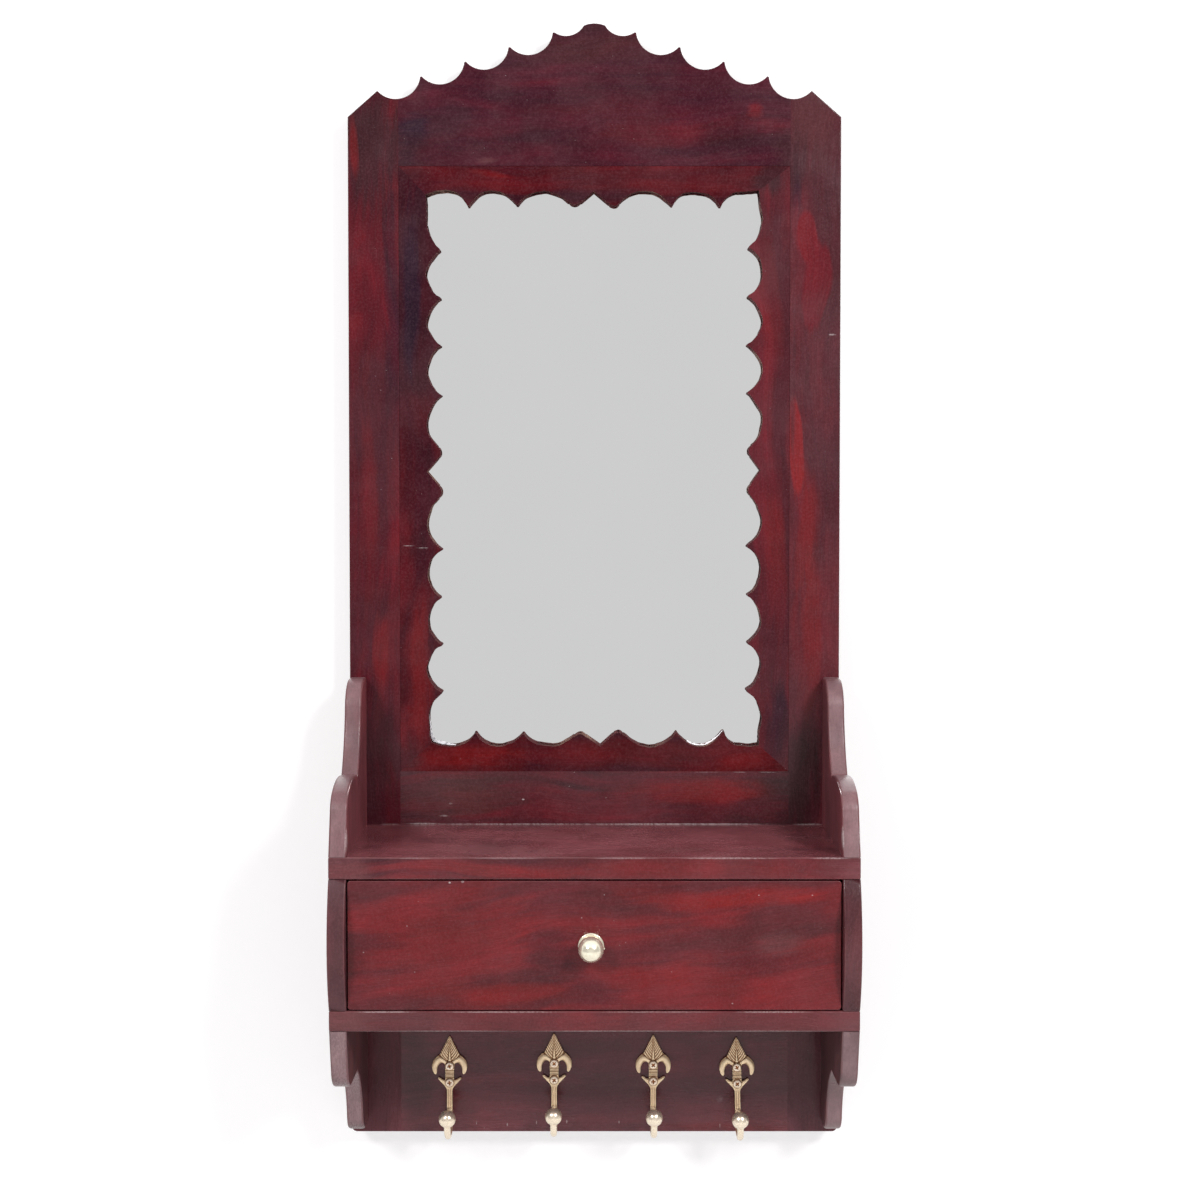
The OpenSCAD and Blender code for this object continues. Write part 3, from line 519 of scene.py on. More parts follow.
CREST = dict(mid=(0.055, 0.0062, 0.0140), dark=(0.033, 0.0050, 0.0115))
panel_looks = {
    "left_stile": dict(
        grain="z", seed=1, redness=0.40, shine=0.15, mid=(0.088, 0.0050, 0.0105), dark=(0.047, 0.0040, 0.009),
        patches=[
            ((-152, -18, 352), (9, 9, 30), RED, 0.6), ((-165, -18, 470), (8, 9, 90), RED, 0.35),
            # The dark patch at z 284 beside the left upper bracket is painted shadow of that bracket
            ((-160, -18, 716), (26, 9, 54), (0.036, 0.0105, 0.014), 0.8), ((-160, -18, 284), (15, 9, 42), (0.034, 0.008, 0.011), 0.45), ((-146, -18, 600), (7, 9, 110), INK, 0.45),
            ((-176, -18, 720), (4, 9, 22), RED, 0.6), ((-160, -18, 40), (60, 20, 90), (0.118, 0.033, 0.040), 0.95, 1),
        ],
        marks=[((-149, -18, 226.8), (9, 3, 0.5), 0.25)],
    ),
    "right_stile": dict(
        grain="z", seed=2, redness=0.25, shine=0.23, mid=(0.086, 0.0110, 0.0170), dark=(0.056, 0.0085, 0.0135),
        patches=[
            ((153, -18, 652), (8, 9, 22), (0.125, 0.0055, 0.010), 0.9, 1),
            ((160, -18, 616), (11, 9, 38), (0.115, 0.0055, 0.011), 0.9, 1),
            # The dark patch at z 266 beside the right upper bracket is painted shadow of that bracket
            ((156, -18, 735), (22, 9, 35), (0.078, 0.019, 0.023), 0.8), ((152, -18, 266), (22, 9, 50), (0.020, 0.006, 0.008), 0.75), ((146, -18, 688), (5, 9, 24), INK, 0.7),
            ((147, -18, 505), (6, 9, 40), (0.190, 0.010, 0.012), 0.8, 1), ((152, -18, 445), (10, 9, 60), RED, 0.6),
            ((145, -18, 560), (4, 9, 60), (0.075, 0.020, 0.026), 0.6), ((157, -18, 370), (12, 9, 70), RED, 0.5),
            ((160, -18, 40), (60, 20, 90), (0.108, 0.032, 0.040), 0.95, 1),
        ],
        marks=[((156, -18, 226.8), (14, 3, 0.5), 0.45), ((172, -18, 583), (3.5, 3, 0.7), 0.4)],
    ),
    "crest_rail": dict(
        grain="x", seed=3, redness=0.22, shine=0.10, **CREST,
        patches=[
            ((-134, -18, 731), (15, 9, 14), INK, 0.9), ((-137, -18, 714), (9, 9, 12), INK, 0.7),
            ((48, -18, 727), (60, 9, 12), RED, 0.22), ((10, -18, 745), (70, 9, 9), RED, 0.12),
            ((0, -18, 790), (70, 9, 16), BROWN, 0.5), ((95, -18, 722), (26, 9, 14), DARK, 0.6),
            ((112, -18, 738), (7, 9, 6), RED, 0.45), ((-80, -18, 708), (10, 9, 3), (0.12, 0.05, 0.05), 0.4),
        ],
    ),
    "lower_rail": dict(
        grain="x", seed=4, redness=0.45, shine=0.34, mid=(0.082, 0.0080, 0.014), dark=(0.047, 0.0070, 0.011),
        patches=[
            ((78, -18, 250), (66, 9, 12), RED, 0.75), ((-95, -18, 246), (45, 9, 18), (0.060, 0.016, 0.017), 0.75),
            # The dark patch at the right end, beside the right upper bracket, is painted shadow of that bracket
            ((138, -18, 246), (20, 9, 34), (0.022, 0.007, 0.009), 0.75),
        ],
        marks=[
            ((-60, -18, 226.9), (85, 3, 0.55), 0.35), ((60, -18, 226.9), (84, 3, 0.6), 0.5),
            ((-125, -18, 227.2), (14, 3, 0.8), 0.4), ((-52, -18, 245), (1.2, 3, 0.7), 0.7),
            ((-105, -18, 242), (1.6, 3, 0.8), 0.3), ((-110, -18, 233), (4.5, 3, 0.8), 0.25),
            ((82, -18, 264.9), (12, 3, 0.5), 0.10), ((106, -18, 264.9), (6, 3, 0.5), 0.16), ((126, -18, 264.9), (8, 3, 0.5), 0.18),
        ],
    ),
    "hook_board": dict(
        grain="x", seed=5, mid=(0.132, 0.027, 0.035), dark=(0.100, 0.023, 0.030), red=(0.175, 0.028, 0.034), redness=0.3,
        shine=0.36,
        patches=[((-132, -18, 50), (14, 9, 60), (0.060, 0.018, 0.022), 0.5), ((100, -18, 3), (60, 9, 5), RED, 0.5)],
        marks=[((x, -18, z), (0.4, 3, 1.7), 0.8) for x, z in ((-86.5, 6.4), (-64, 5.2), (-42.5, 6.6), (-20.3, 7.4), (92, 4.4))]
        + [((-63.8, -18, 58.5), (0.5, 3, 0.5), 0.7), ((92, -18, 24), (3, 3, 3), 0.12), ((18, -18, 7), (0.4, 3, 1.4), 0.6)],
    ),
}
# Darker patches at the four corners of the mirror frame, at its joints; the lower right one is also painted shadow of
# the right upper bracket
CORNER_DARKENING = [
    ((-140, -18, 716), (24, 9, 24), (0.040, 0.0095, 0.014), 0.6), ((141, -18, 702), (22, 9, 28), (0.042, 0.011, 0.015), 0.6),
    ((-139, -18, 276), (15, 9, 22), (0.045, 0.012, 0.016), 0.6), ((143, -18, 285), (14, 9, 30), (0.040, 0.011, 0.014), 0.5),
]
strip_looks = {
    "scallop_top": dict(
        grain="x", seed=6, redness=0.30, shine=0.06, mid=(0.058, 0.0038, 0.0070),
        patches=[
            ((80, -17, 694), (60, 9, 9), RED, 0.15), ((-60, -17, 694), (55, 9, 8), RED, 0.25),
            ((-75, -17, 701), (16, 9, 3), BRIGHT, 0.2), ((128, -17, 696), (14, 9, 14), (0.035, 0.009, 0.012), 0.8),
        ],
    ),
    "scallop_bottom": dict(
        grain="x", seed=7, redness=0.30, shine=0.07, mid=(0.073, 0.0036, 0.0060),
        patches=[
            ((-95, -17, 276), (45, 9, 10), BRIGHT, 0.25), ((-20, -17, 276), (50, 9, 9), RED, 0.3),
            ((108, -17, 272), (20, 9, 8), RED, 0.5),
        ],
    ),
    "scallop_left": dict(
        grain="z", seed=8, redness=0.40, shine=0.09, mid=(0.062, 0.0044, 0.0085),
        patches=[
            ((-131, -17, 620), (8, 9, 75), INK, 0.75), ((-126, -17, 345), (10, 9, 64), RED, 0.7),
            ((-128, -17, 455), (12, 9, 60), DARK, 0.6),
        ],
        marks=[((-135, -17.5, 430.1), (5, 3, 0.4), 0.4), ((-125, -17.5, 428.6), (5.5, 3, 0.4), 0.4)],
    ),
    "scallop_right": dict(
        grain="z", seed=9, redness=0.50, shine=0.21, mid=(0.108, 0.0070, 0.013), dark=(0.055, 0.0050, 0.010),
        patches=[
            ((128, -17, 600), (9, 9, 70), RED, 0.3), ((130, -17, 430), (9, 9, 60), RED, 0.45),
            ((132, -17, 300), (12, 9, 30), INK, 0.6), ((130, -17, 688), (14, 9, 14), (0.035, 0.009, 0.012), 0.85),
        ],
    ),
}
for look in list(panel_looks.values()) + list(strip_looks.values()):
    look["patches"] = look["patches"] + CORNER_DARKENING
for name, look in panel_looks.items():
    piece = eased(
        name, 0.7, on=PANEL_FACES, off=INNER_SIDES + [("z", JOINT_Z), ("z", FRAME_Z), ("z", FRAME_TOP_Z)],
        pockets=name != "crest_rail",
    )
    finish_piece(piece, name, stained(f"stain_{name}", worn_and_sheen=0.3, dull=("Y", 0.2, 0.6, 0.95, 0.0), **look))
for name, look in strip_looks.items():
    piece = eased(
        name, 0.3, on=[("y", -PANEL_T + 0.5)], mitre=True, uneven=1.3,
        off=INNER_SIDES + [("z", FRAME_Z), ("z", FRAME_TOP_Z)],
    )
    # Bevels and walls of the opening that turn away from the front are painted darker: painted shade
    look["tints"] = [("Y", 0.9, 0.4, (0.040, 0.013, 0.014), 0.8)]
    finish_piece(piece, name, stained(f"stain_{name}", worn_and_sheen=0.3, rough_edges=True, **look))

# Pale mauve on the shaped edges of the brackets: paler edge wood and painted sheen
EAR_EDGE_SHEEN, FOOT_EDGE_SHEEN, SIDE_EDGE = (0.200, 0.112, 0.120), (0.215, 0.130, 0.136), (0.088, 0.028, 0.032)
EAR = dict(shine=0.36, gloss=0.31, mid=(0.185, 0.042, 0.050), dark=(0.112, 0.026, 0.033), redness=0.25, tints=[("X", 0.9, 0.5, EAR_EDGE_SHEEN, 0.85)])
FOOT = dict(shine=0.42, gloss=0.27, mid=(0.110, 0.034, 0.038), dark=(0.070, 0.022, 0.026), redness=0.2, tints=[("X", 0.9, 0.5, FOOT_EDGE_SHEEN, 0.9)])
SIDE = dict(
    shine=0.28, gloss=0.26, mid=(0.105, 0.027, 0.032), dark=(0.068, 0.018, 0.022), redness=0.3,
    # Faces of the case sides that look up are painted darker: painted shade
    tints=[("X", 0.9, 0.5, SIDE_EDGE, 0.5), ("Z", 0.05, 0.40, (0.060, 0.014, 0.018), 0.85)],
)
case_looks = {
    "shelf_board": dict(
        grain="x", seed=10, redness=0.55, shine=0.36, mid=(0.120, 0.011, 0.015),
        # The shelf's top face is painted lighter: painted light on the face that looks up
        tints=[("Z", 0.6, 0.9, (0.200, 0.058, 0.068), 0.85)],
        patches=[
            ((-60, -136, 217), (70, 9, 7), BRIGHT, 0.35), ((60, -136, 219), (80, 9, 7), RED, 0.5),
            ((-178, -136, 219), (30, 9, 16), (0.150, 0.042, 0.048), 0.7),
            ((178, -136, 219), (30, 9, 16), (0.160, 0.046, 0.054), 0.7),
        ],
        # Pale lines along the front top edge: painted highlight
        marks=[((x, -136, 226), (r, 2, 0.7), s) for x, r, s in ((-120, 14, 0.15), (-60, 30, 0.15), (20, 26, 0.2), (90, 40, 0.3), (158, 16, 0.35))],
    ),
    "bottom_board": dict(
        grain="x", seed=11, redness=0.30, shine=0.32, mid=(0.120, 0.018, 0.022), dark=(0.076, 0.013, 0.017),
        patches=[
            ((-178, -136, 116), (34, 9, 16), (0.140, 0.046, 0.050), 0.7),
            ((178, -136, 116), (34, 9, 16), (0.140, 0.048, 0.054), 0.6),
            ((-120, -136, 116), (40, 9, 8), (0.110, 0.030, 0.034), 0.5),
        ],
        # Pale lines along the front top and bottom edges: painted highlight
        marks=[((x, -136, z), (r, 2, 0.6), s) for x, z, r, s in (
            (-140, 122.4, 24, 0.4), (-60, 122.4, 50, 0.3), (40, 122.4, 50, 0.2), (120, 122.4, 30, 0.35),
            (-100, 109.5, 55, 0.22), (10, 109.5, 60, 0.28), (110, 109.5, 50, 0.25),
        )],
    ),
    "left_case_side": dict(grain="z", seed=12, **SIDE),
    "right_case_side": dict(grain="z", seed=13, **SIDE),
    "left_upper_bracket": dict(
        # These marks are painted glints along the bracket's inner edge
        grain="z", seed=14, marks=[((-166.4, -127, 271), (0.9, 14, 6), 0.55), ((-166.4, -132, 237), (0.9, 8, 10), 0.55)], **EAR,
    ),
    "right_upper_bracket": dict(
        grain="z", seed=15, **EAR,
        # These marks are painted glints along the bracket's edges
        marks=[((166.4, -127, 272), (0.9, 14, 5), 0.8), ((166.4, -132, 239), (0.9, 8, 10), 0.6), ((177.6, -132, 240), (0.8, 8, 9), 0.5)],
    ),
    "left_lower_bracket": dict(grain="z", seed=16, **FOOT),
    "right_lower_bracket": dict(grain="z", seed=17, **FOOT),
}
BACK = [("y", -PANEL_T)]
case_edges = {
    "shelf_board": (1.2, [("y", CASE_Y), ("x", -HALF_W), ("x", HALF_W)], BACK),
    "bottom_board": (1.2, [("y", CASE_Y), ("x", -HALF_W), ("x", HALF_W)], BACK),
    "left_case_side": (1.2, None, BACK + [("z", BAY_Z), ("z", SHELF_Z)]),
    "right_case_side": (1.2, None, BACK + [("z", BAY_Z), ("z", SHELF_Z)]),
    "left_upper_bracket": (1.8, None, BACK + [("z", SHELF_TOP_Z)]),
    "right_upper_bracket": (1.8, None, BACK + [("z", SHELF_TOP_Z)]),
    "left_lower_bracket": (1.8, None, BACK + [("z", BOTTOM_Z)]),
    "right_lower_bracket": (1.8, None, BACK + [("z", BOTTOM_Z)]),
}
for name, look in case_looks.items():
    width, on, off = case_edges[name]
    case_stain = stained(f"stain_{name}", dull=("X", 0.8, 0.97, 0.0, 0.45), **look)
    finish_piece(eased(name, width, on=on, off=off), name, case_stain)

# ---------------------------------------------------------------- fasteners

def merged(target, mesh, matrix):
    """Adds a placed copy of a mesh to a bmesh."""
    copy = mesh.copy()
    copy.transform(matrix)
    target.from_mesh(copy)
    bpy.data.meshes.remove(copy)


def evaluated(obj):
    """A mesh of an object with its modifiers applied; the object goes away."""
    bpy.context.view_layer.update()
    mesh = bpy.data.meshes.new_from_object(obj.evaluated_get(bpy.context.evaluated_depsgraph_get()))
    old = obj.data
    bpy.data.objects.remove(obj)
    bpy.data.meshes.remove(old)
    return mesh


def box(bm, low, high, taper=1.0):
    """A box in millimetres; its lower face is smaller by taper."""
    corners = []
    for z, share in ((low[2], taper), (high[2], 1.0)):
        for x, y in ((low[0], low[1]), (high[0], low[1]), (high[0], high[1]), (low[0], high[1])):
            corners.append(bm.verts.new((x * share * MM, y * share * MM, z * MM)))
    for face in ((3, 2, 1, 0), (4, 5, 6, 7), (0, 1, 5, 4), (1, 2, 6, 5), (2, 3, 7, 6), (3, 0, 4, 7)):
        bm.faces.new([corners[i] for i in face])


def screw_mesh(head, shank_r, length, pitch, recess_r, recess_d, turns=48, smooth_part=0.3):
    """A cross-headed screw along Z: head is its profile of (radius, height) from the top's middle outwards, the rest
    runs down from the head's lowest point."""
    bm = lathe([(0, head[-1][1])] + list(reversed(head)), turns)
    head_obj = new_object("head_blank", bm)
    cross = bmesh.new()
    top = head[0][1]
    arm = 0.32 * recess_r
    box(cross, (-recess_r, -arm, top - recess_d), (recess_r, arm, top + 1), 0.7)
    box(cross, (-arm, -recess_r, top - recess_d - 0.01), (arm, recess_r, top + 1.01), 0.7)
    cross_obj = new_object("cross_blank", cross)
    cut = head_obj.modifiers.new("cut", "BOOLEAN")
    cut.object = cross_obj
    cut.solver = "EXACT"
    cut.use_self = True
    mesh = evaluated(head_obj)
    bpy.data.objects.remove(cross_obj)
    bm = bmesh.new()
    bm.from_mesh(mesh)
    layer = bm.faces.layers.float.new("recess")
    for face in bm.faces:
        spot = face.calc_center_median()
        inside = math.hypot(spot.x, spot.y) < recess_r * 1.02 * MM
        face[layer] = 1.0 if inside and spot.z < (top - 0.12 * recess_d) * MM else 0.0
    foot = head[-1][1]
    step = pitch / 6
    count = int(length / step)
    rings = []
    for i in range(count + 1):
        z = foot - i * length / count
        point = min(1.0, (length - (foot - z)) / (2.5 * shank_r) + 0.08)
        ring = []
        for j in range(16):
            a = 2 * math.pi * j / 16
            wave = abs(2 * (((foot - z) / pitch + j / 16) % 1.0) - 1)
            threaded = (foot - z) > smooth_part * length
            r = shank_r * point * (1 - (0.30 * (1 - wave) if threaded else 0.12))
            ring.append(bm.verts.new((r * MM * math.cos(a), r * MM * math.sin(a), z * MM)))
        rings.append(ring)
    for low, high in zip(rings, rings[1:]):
        for j in range(16):
            k = (j + 1) % 16
            bm.faces.new((low[j], low[k], high[k], high[j]))
    bm.faces.new(rings[-1])
    bm.faces.new(list(reversed(rings[0])))
    bmesh.ops.recalc_face_normals(bm, faces=bm.faces)
    made = bpy.data.meshes.new("screw_blank")
    bm.to_mesh(made)
    bm.free()
    bpy.data.meshes.remove(mesh)
    return made


def flat_head(r, shank_r):
    """Profile of a countersunk head whose face is at height 0."""
    depth = r - shank_r
    return [(0, 0), (0.5 * r, 0), (r - 0.12, 0), (r, -0.10), (shank_r, -depth)]


def pan_head(r, h):
    """Profile of a low round head that stands on the surface."""
    rim = [(0.76 * r + 0.24 * r * math.cos(a), h * (0.25 + 0.68 * math.sin(a))) for a in (math.pi * k / 16 for k in range(7, -1, -1))]
    return [(0, h), (0.35 * r, 0.99 * h), (0.62 * r, 0.965 * h)] + rim + [(r, 0)]


TO_BACK = Matrix.Rotation(math.radians(-90), 4, "X")   # a screw's head faces the back
TO_FRONT = Matrix.Rotation(math.radians(90), 4, "X")   # a screw's head faces the front


def screw_set(name, node, mesh, places, material):
    """Screws at the places given as (matrix, turn in degrees) in one piece."""
    bm = bmesh.new()
    for place, turn in places:
        merged(bm, mesh, place @ Matrix.Rotation(math.radians(turn), 4, "Z"))
    bpy.data.meshes.remove(mesh)
    return finish_piece(smooth(new_object(name, bm), 40), node, material)


def at(x, y, z):
    return Matrix.Translation((x * MM, y * MM, z * MM))


# ---------------------------------------------------------------- coat hooks

HOOK_X = (-106, -29.5, 43, 104.5)
HOOK_LEAN = (0, 0, 0, -1.5)
HOOK_Z = (37.3, 39.2, 38.2, 36.4)
HOOK_T, SCREW_GAP = 2.6, 12.2
THROW_DROP, THROW_R, THROW_Y, BALL_R, BALL_RISE = 23.2, 12.0, -14.1, 6.2, 4.2
BALL_AT = Vector((0, THROW_Y - THROW_R, BALL_RISE - THROW_DROP))
LEAF_SIDE = [(0, 34.0), (0.5, 33.4), (1.3, 32.0), (3.0, 28.6), (4.9, 24.8), (6.5, 21.6), (7.5, 19.7)]
LEAF_FOOT = [(5.6, 18.3), (3.6, 16.8), (2.3, 15.8), (0, 15.0)]
VOLUTE = [
    (1.8, 16.0), (4.6, 18.1), (7.6, 19.7), (10.3, 17.7), (12.1, 15.0), (12.8, 12.1), (12.5, 9.2), (11.7, 7.1),
    (10.6, 5.9), (9.7, 6.1), (9.3, 7.5), (9.3, 9.4), (8.8, 11.3), (7.8, 13.0), (6.3, 14.2), (4.6, 14.1), (3.3, 13.2),
    (2.2, 12.3),
]
WING = [
    (0, 1.4), (3.1, 1.2), (5.2, 1.9), (7.3, 3.3), (8.3, 3.4), (8.6, 2.7), (7.2, 1.1), (5.4, -0.8), (3.7, -2.5),
    (2.5, -4.4), (1.9, -6.0), (0, -6.2),
]
STEM = [(0, -1), (3.1, -1), (2.6, -3.0), (2.05, -5.6), (1.95, -12), (2.05, -19), (2.25, -23.5), (0, -23.6)]


def rounded(points, steps=3):
    """A smooth closed curve through points."""
    out, n = [], len(points)
    for i in range(n):
        p, q, r, s = (Vector(points[(i + k) % n]) for k in (-1, 0, 1, 2))
        for k in range(steps):
            t = k / steps
            out.append(0.5 * (2 * q + t * (r - p) + t * t * (2 * p - 5 * q + 4 * r - s)
                              + t ** 3 * (3 * q - p - 3 * r + s)))
    return out


def prism(bm, points, front, back, side=1):
    """A flat shape of (across, up) in millimetres, made solid between two depths."""
    rows = [[bm.verts.new((side * x * MM, y * MM, z * MM)) for x, z in points] for y in (front, back)]
    n = len(points)
    faces = [bm.faces.new(rows[0]), bm.faces.new(list(reversed(rows[1])))]
    for i in range(n):
        j = (i + 1) % n
        faces.append(bm.faces.new((rows[1][i], rows[1][j], rows[0][j], rows[0][i])))
    bmesh.ops.recalc_face_normals(bm, faces=faces)


def tube(bm, path, across, turns=24):
    """A rod along a path of (y, z, radius) in millimetres; across makes it wider in X."""
    rings = []
    for i, (y, z, r) in enumerate(path):
        before, after = path[max(0, i - 1)], path[min(len(path) - 1, i + 1)]
        way = Vector((0, after[0] - before[0], after[1] - before[1])).normalized()
        side = way.cross(Vector((1, 0, 0)))
        rings.append([
            bm.verts.new((Vector((0, y, z)) + r * across * math.cos(a) * Vector((1, 0, 0)) + r * math.sin(a) * side) * MM)
            for a in (2 * math.pi * k / turns for k in range(turns))
        ])
    faces = [bm.faces.new(rings[0]), bm.faces.new(list(reversed(rings[-1])))]
    for low, high in zip(rings, rings[1:]):
        for k in range(turns):
            m = (k + 1) % turns
            faces.append(bm.faces.new((low[k], high[k], high[m], low[m])))
    bmesh.ops.recalc_face_normals(bm, faces=faces)


def pulse(value, centre, half):
    """1 at the centre, 0 beyond half a width, with a smooth flank."""
    away = abs(value - centre) / half
    return 0.0 if away >= 1 else 0.5 + 0.5 * math.cos(math.pi * away)


VOLUTE_LINE = [(2.0, 14.2), (4.6, 16.1), (7.0, 16.9), (9.0, 15.4), (10.45, 13.1), (11.05, 10.75), (10.9, 8.4), (10.6, 6.6)]


def from_line(x, z, points):
    """Distance of a place from a line through points."""
    best = 1e9
    for (ax, az), (bx, bz) in zip(points, points[1:]):
        dx, dz = bx - ax, bz - az
        t = max(0.0, min(1.0, ((x - ax) * dx + (z - az) * dz) / (dx * dx + dz * dz)))
        best = min(best, math.hypot(x - ax - t * dx, z - az - t * dz))
    return best


def relief(x, z):
    """How deep the hook's front lies at a place on its plate, in millimetres, and how dirty it is there."""
    side = abs(x)
    depth, dirt = 0.0, 0.0
    foot_line = 15.8 + (side - 2.3) * 0.76
    width = max(0.2, (34.0 - z) * 0.52)
    if z > foot_line - 0.3 and side < width + 0.5:
        depth += 0.14 * min(1, side / width) ** 2 + 0.10 * max(0, (z - 24) / 10)
        lean = 0.80 + 0.07 * (z - 16)
        stripe = (0.5 + 0.5 * math.cos(2 * math.pi * (z - side * lean) / 2.1)) ** 1.4
        reach = min(1, max(0, (side - 0.3) / 0.5)) * min(1, max(0, (33.4 - z) / 3))
        depth += 0.34 * stripe * reach
        dirt += 1.1 * stripe * reach - 0.1
        rib = 1.15 * max(0, (26.0 - z) / 10.5)
        if side < rib:
            depth -= 0.35 * (1 - side / rib) ** 0.5
        elif side < rib + 0.6:
            depth += 0.30
            dirt += 0.7
    if 1.6 < side < 7.9:
        depth += 0.60 * pulse(z, foot_line, 0.6)
        dirt += 0.9 * pulse(z, foot_line, 0.5)
    if side < 3.4 and 2.6 < z < 9.6:
        for centre, half, cut in ((8.7, 0.5, 0.6), (7.4, 0.4, 0.35), (6.3, 0.5, 0.6), (5.0, 0.4, 0.35), (3.7, 0.5, 0.6)):
            depth += cut * pulse(z, centre, half)
            dirt += 0.9 * cut * pulse(z, centre, half)
        depth += 0.25 * (side / 3.2) ** 4
    if side > 3.3 and 5 < z < foot_line:
        away = from_line(side, z, VOLUTE_LINE)
        depth += 0.12 + 0.55 * min(1.0, away / 2.0) ** 2
        dirt += 0.55 * min(1.0, max(0.0, away - 1.2) / 0.8)
    if 3.2 < side and -4 < z < 4.5:
        depth += 0.30 * min(1, (side - 3.2) / 2)
        crease = pulse(z, 0.9 + (side - 3.2) * 0.45, 0.5)
        depth += 0.25 * crease
        dirt += 0.45 * crease
    if z < -4.2:
        fade = min(1, (-4.2 - z) / 1.2) * min(1, max(0, (z + 21.5) / 1.5))
        depth += fade * (0.50 * pulse(side, 0.85, 0.55) - 0.10 * pulse(side, 0.0, 0.5))
        dirt += fade * 0.45 * pulse(side, 0.85, 0.5)
    for centre in (0, SCREW_GAP):
        away = math.hypot(x, z - centre)
        if away < 3.7:
            depth *= min(1, max(0, (away - 3.0) / 0.5))
            depth += 0.20 * pulse(away, 3.3, 0.4)
            dirt = max(dirt, 0.9 * pulse(away, 3.25, 0.5))
    return depth, min(1.0, max(0.0, dirt))


def hook_mesh():
    bm = bmesh.new()
    leaf = LEAF_SIDE + LEAF_FOOT
    prism(bm, leaf + [(-x, z) for x, z in reversed(leaf[1:-1])], -HOOK_T, 0)
    for side in (-1, 1):
        prism(bm, rounded(VOLUTE), -HOOK_T, 0, side)
        prism(bm, WING, -HOOK_T + 0.1, 0, side)
    prism(bm, STEM + [(-x, z) for x, z in reversed(STEM[1:-1])], -HOOK_T, 0)
    prism(bm, [(-3.2, -1), (3.2, -1), (3.3, 2), (3.15, 6), (3.3, 12), (2.8, 16.2), (-2.8, 16.2), (-3.3, 12), (-3.15, 6),
               (-3.3, 2)], -HOOK_T, 0)
    for centre in (0, SCREW_GAP):
        prism(bm, [(3.55 * math.cos(a), centre + 3.55 * math.sin(a)) for a in (math.pi * k / 18 for k in range(36))],
              -HOOK_T, 0)
    bend = [(-1.9, -19.0, 1.6), (-2.0, -20.5, 1.9)]
    for k in range(33):
        a = math.pi * k / 32
        bend.append((THROW_Y + THROW_R * math.cos(a), -THROW_DROP - THROW_R * math.sin(a), 2.08))
    bend.append((THROW_Y - THROW_R, -THROW_DROP + 2, 2.0))
    tube(bm, bend, 1.14)
    sphere = bmesh.ops.create_icosphere(bm, subdivisions=5, radius=(BALL_R - 0.05) * MM)
    bmesh.ops.translate(bm, verts=sphere["verts"], vec=BALL_AT * MM)
    blank = new_object("hook_blank", bm)
    shell = blank.modifiers.new("shell", "REMESH")
    shell.mode = "VOXEL"
    shell.voxel_size = 0.24 * MM
    mesh = evaluated(blank)

    bm = bmesh.new()
    bm.from_mesh(mesh)
    bpy.data.meshes.remove(mesh)
    for _ in range(3):
        bmesh.ops.smooth_vert(bm, verts=bm.verts, factor=0.5, use_axis_x=True, use_axis_y=True, use_axis_z=True)
    bm.normal_update()
    layer = bm.verts.layers.float.new("recess")
    polish = bm.verts.layers.float.new("polish")
    for vert in bm.verts:
        x, y, z = vert.co / MM
        if z > -21.5 and -3.4 < y < -1.2:
            depth, dirt = relief(x, z)
            facing = max(0.0, min(1.0, (-vert.normal.y - 0.1) / 0.5))
            vert.co.y += depth * facing * MM
            vert[layer] = dirt * facing
        elif y > -1.2 and z > -21:
            vert[layer] = 0.7
        else:
            ball = vert.co - BALL_AT * MM
            if ball.length > (BALL_R - 0.5) * MM and ball.z > -0.8 * BALL_R * MM and y < -18:
                vert.co = BALL_AT * MM + ball.normalized() * (BALL_R - 0.05) * MM
            vert[layer] = 0.5 * pulse(z, -23.0, 1.2) if y < -18 else 0.0
            vert[polish] = min(1.0, max(0.0, (-8 - y) / 8))
    made = bpy.data.meshes.new("coat_hook")
    bm.to_mesh(made)
    bm.free()
    made.shade_smooth()
    return made


hook_brass = brass("hook_brass", (0.90, 0.69, 0.46), (0.34, 0.165, 0.075), 0.34, 0.12, 0.8)
screw_brass = brass("screw_brass", (0.95, 0.78, 0.62), (0.42, 0.15, 0.05), 0.30, 0.05, 0.8)
knob_brass = brass("knob_brass", (0.94, 0.87, 0.70), (0.62, 0.48, 0.30), 0.13, 0.12, 0.72)
zinc = steel("zinc_steel")

cast = hook_mesh()
hook_places = [
    at(x, -PANEL_T, z) @ Matrix.Rotation(math.radians(lean), 4, "Y") for x, z, lean in zip(HOOK_X, HOOK_Z, HOOK_LEAN)
]
for i, place in enumerate(hook_places, 1):
    copy = cast.copy()
    copy.transform(place)
    obj = bpy.data.objects.new(f"coat_hook_{i}_cast", copy)
    bpy.context.scene.collection.objects.link(obj)
    finish_piece(obj, f"coat_hook_{i}", hook_brass)
bpy.data.meshes.remove(cast)

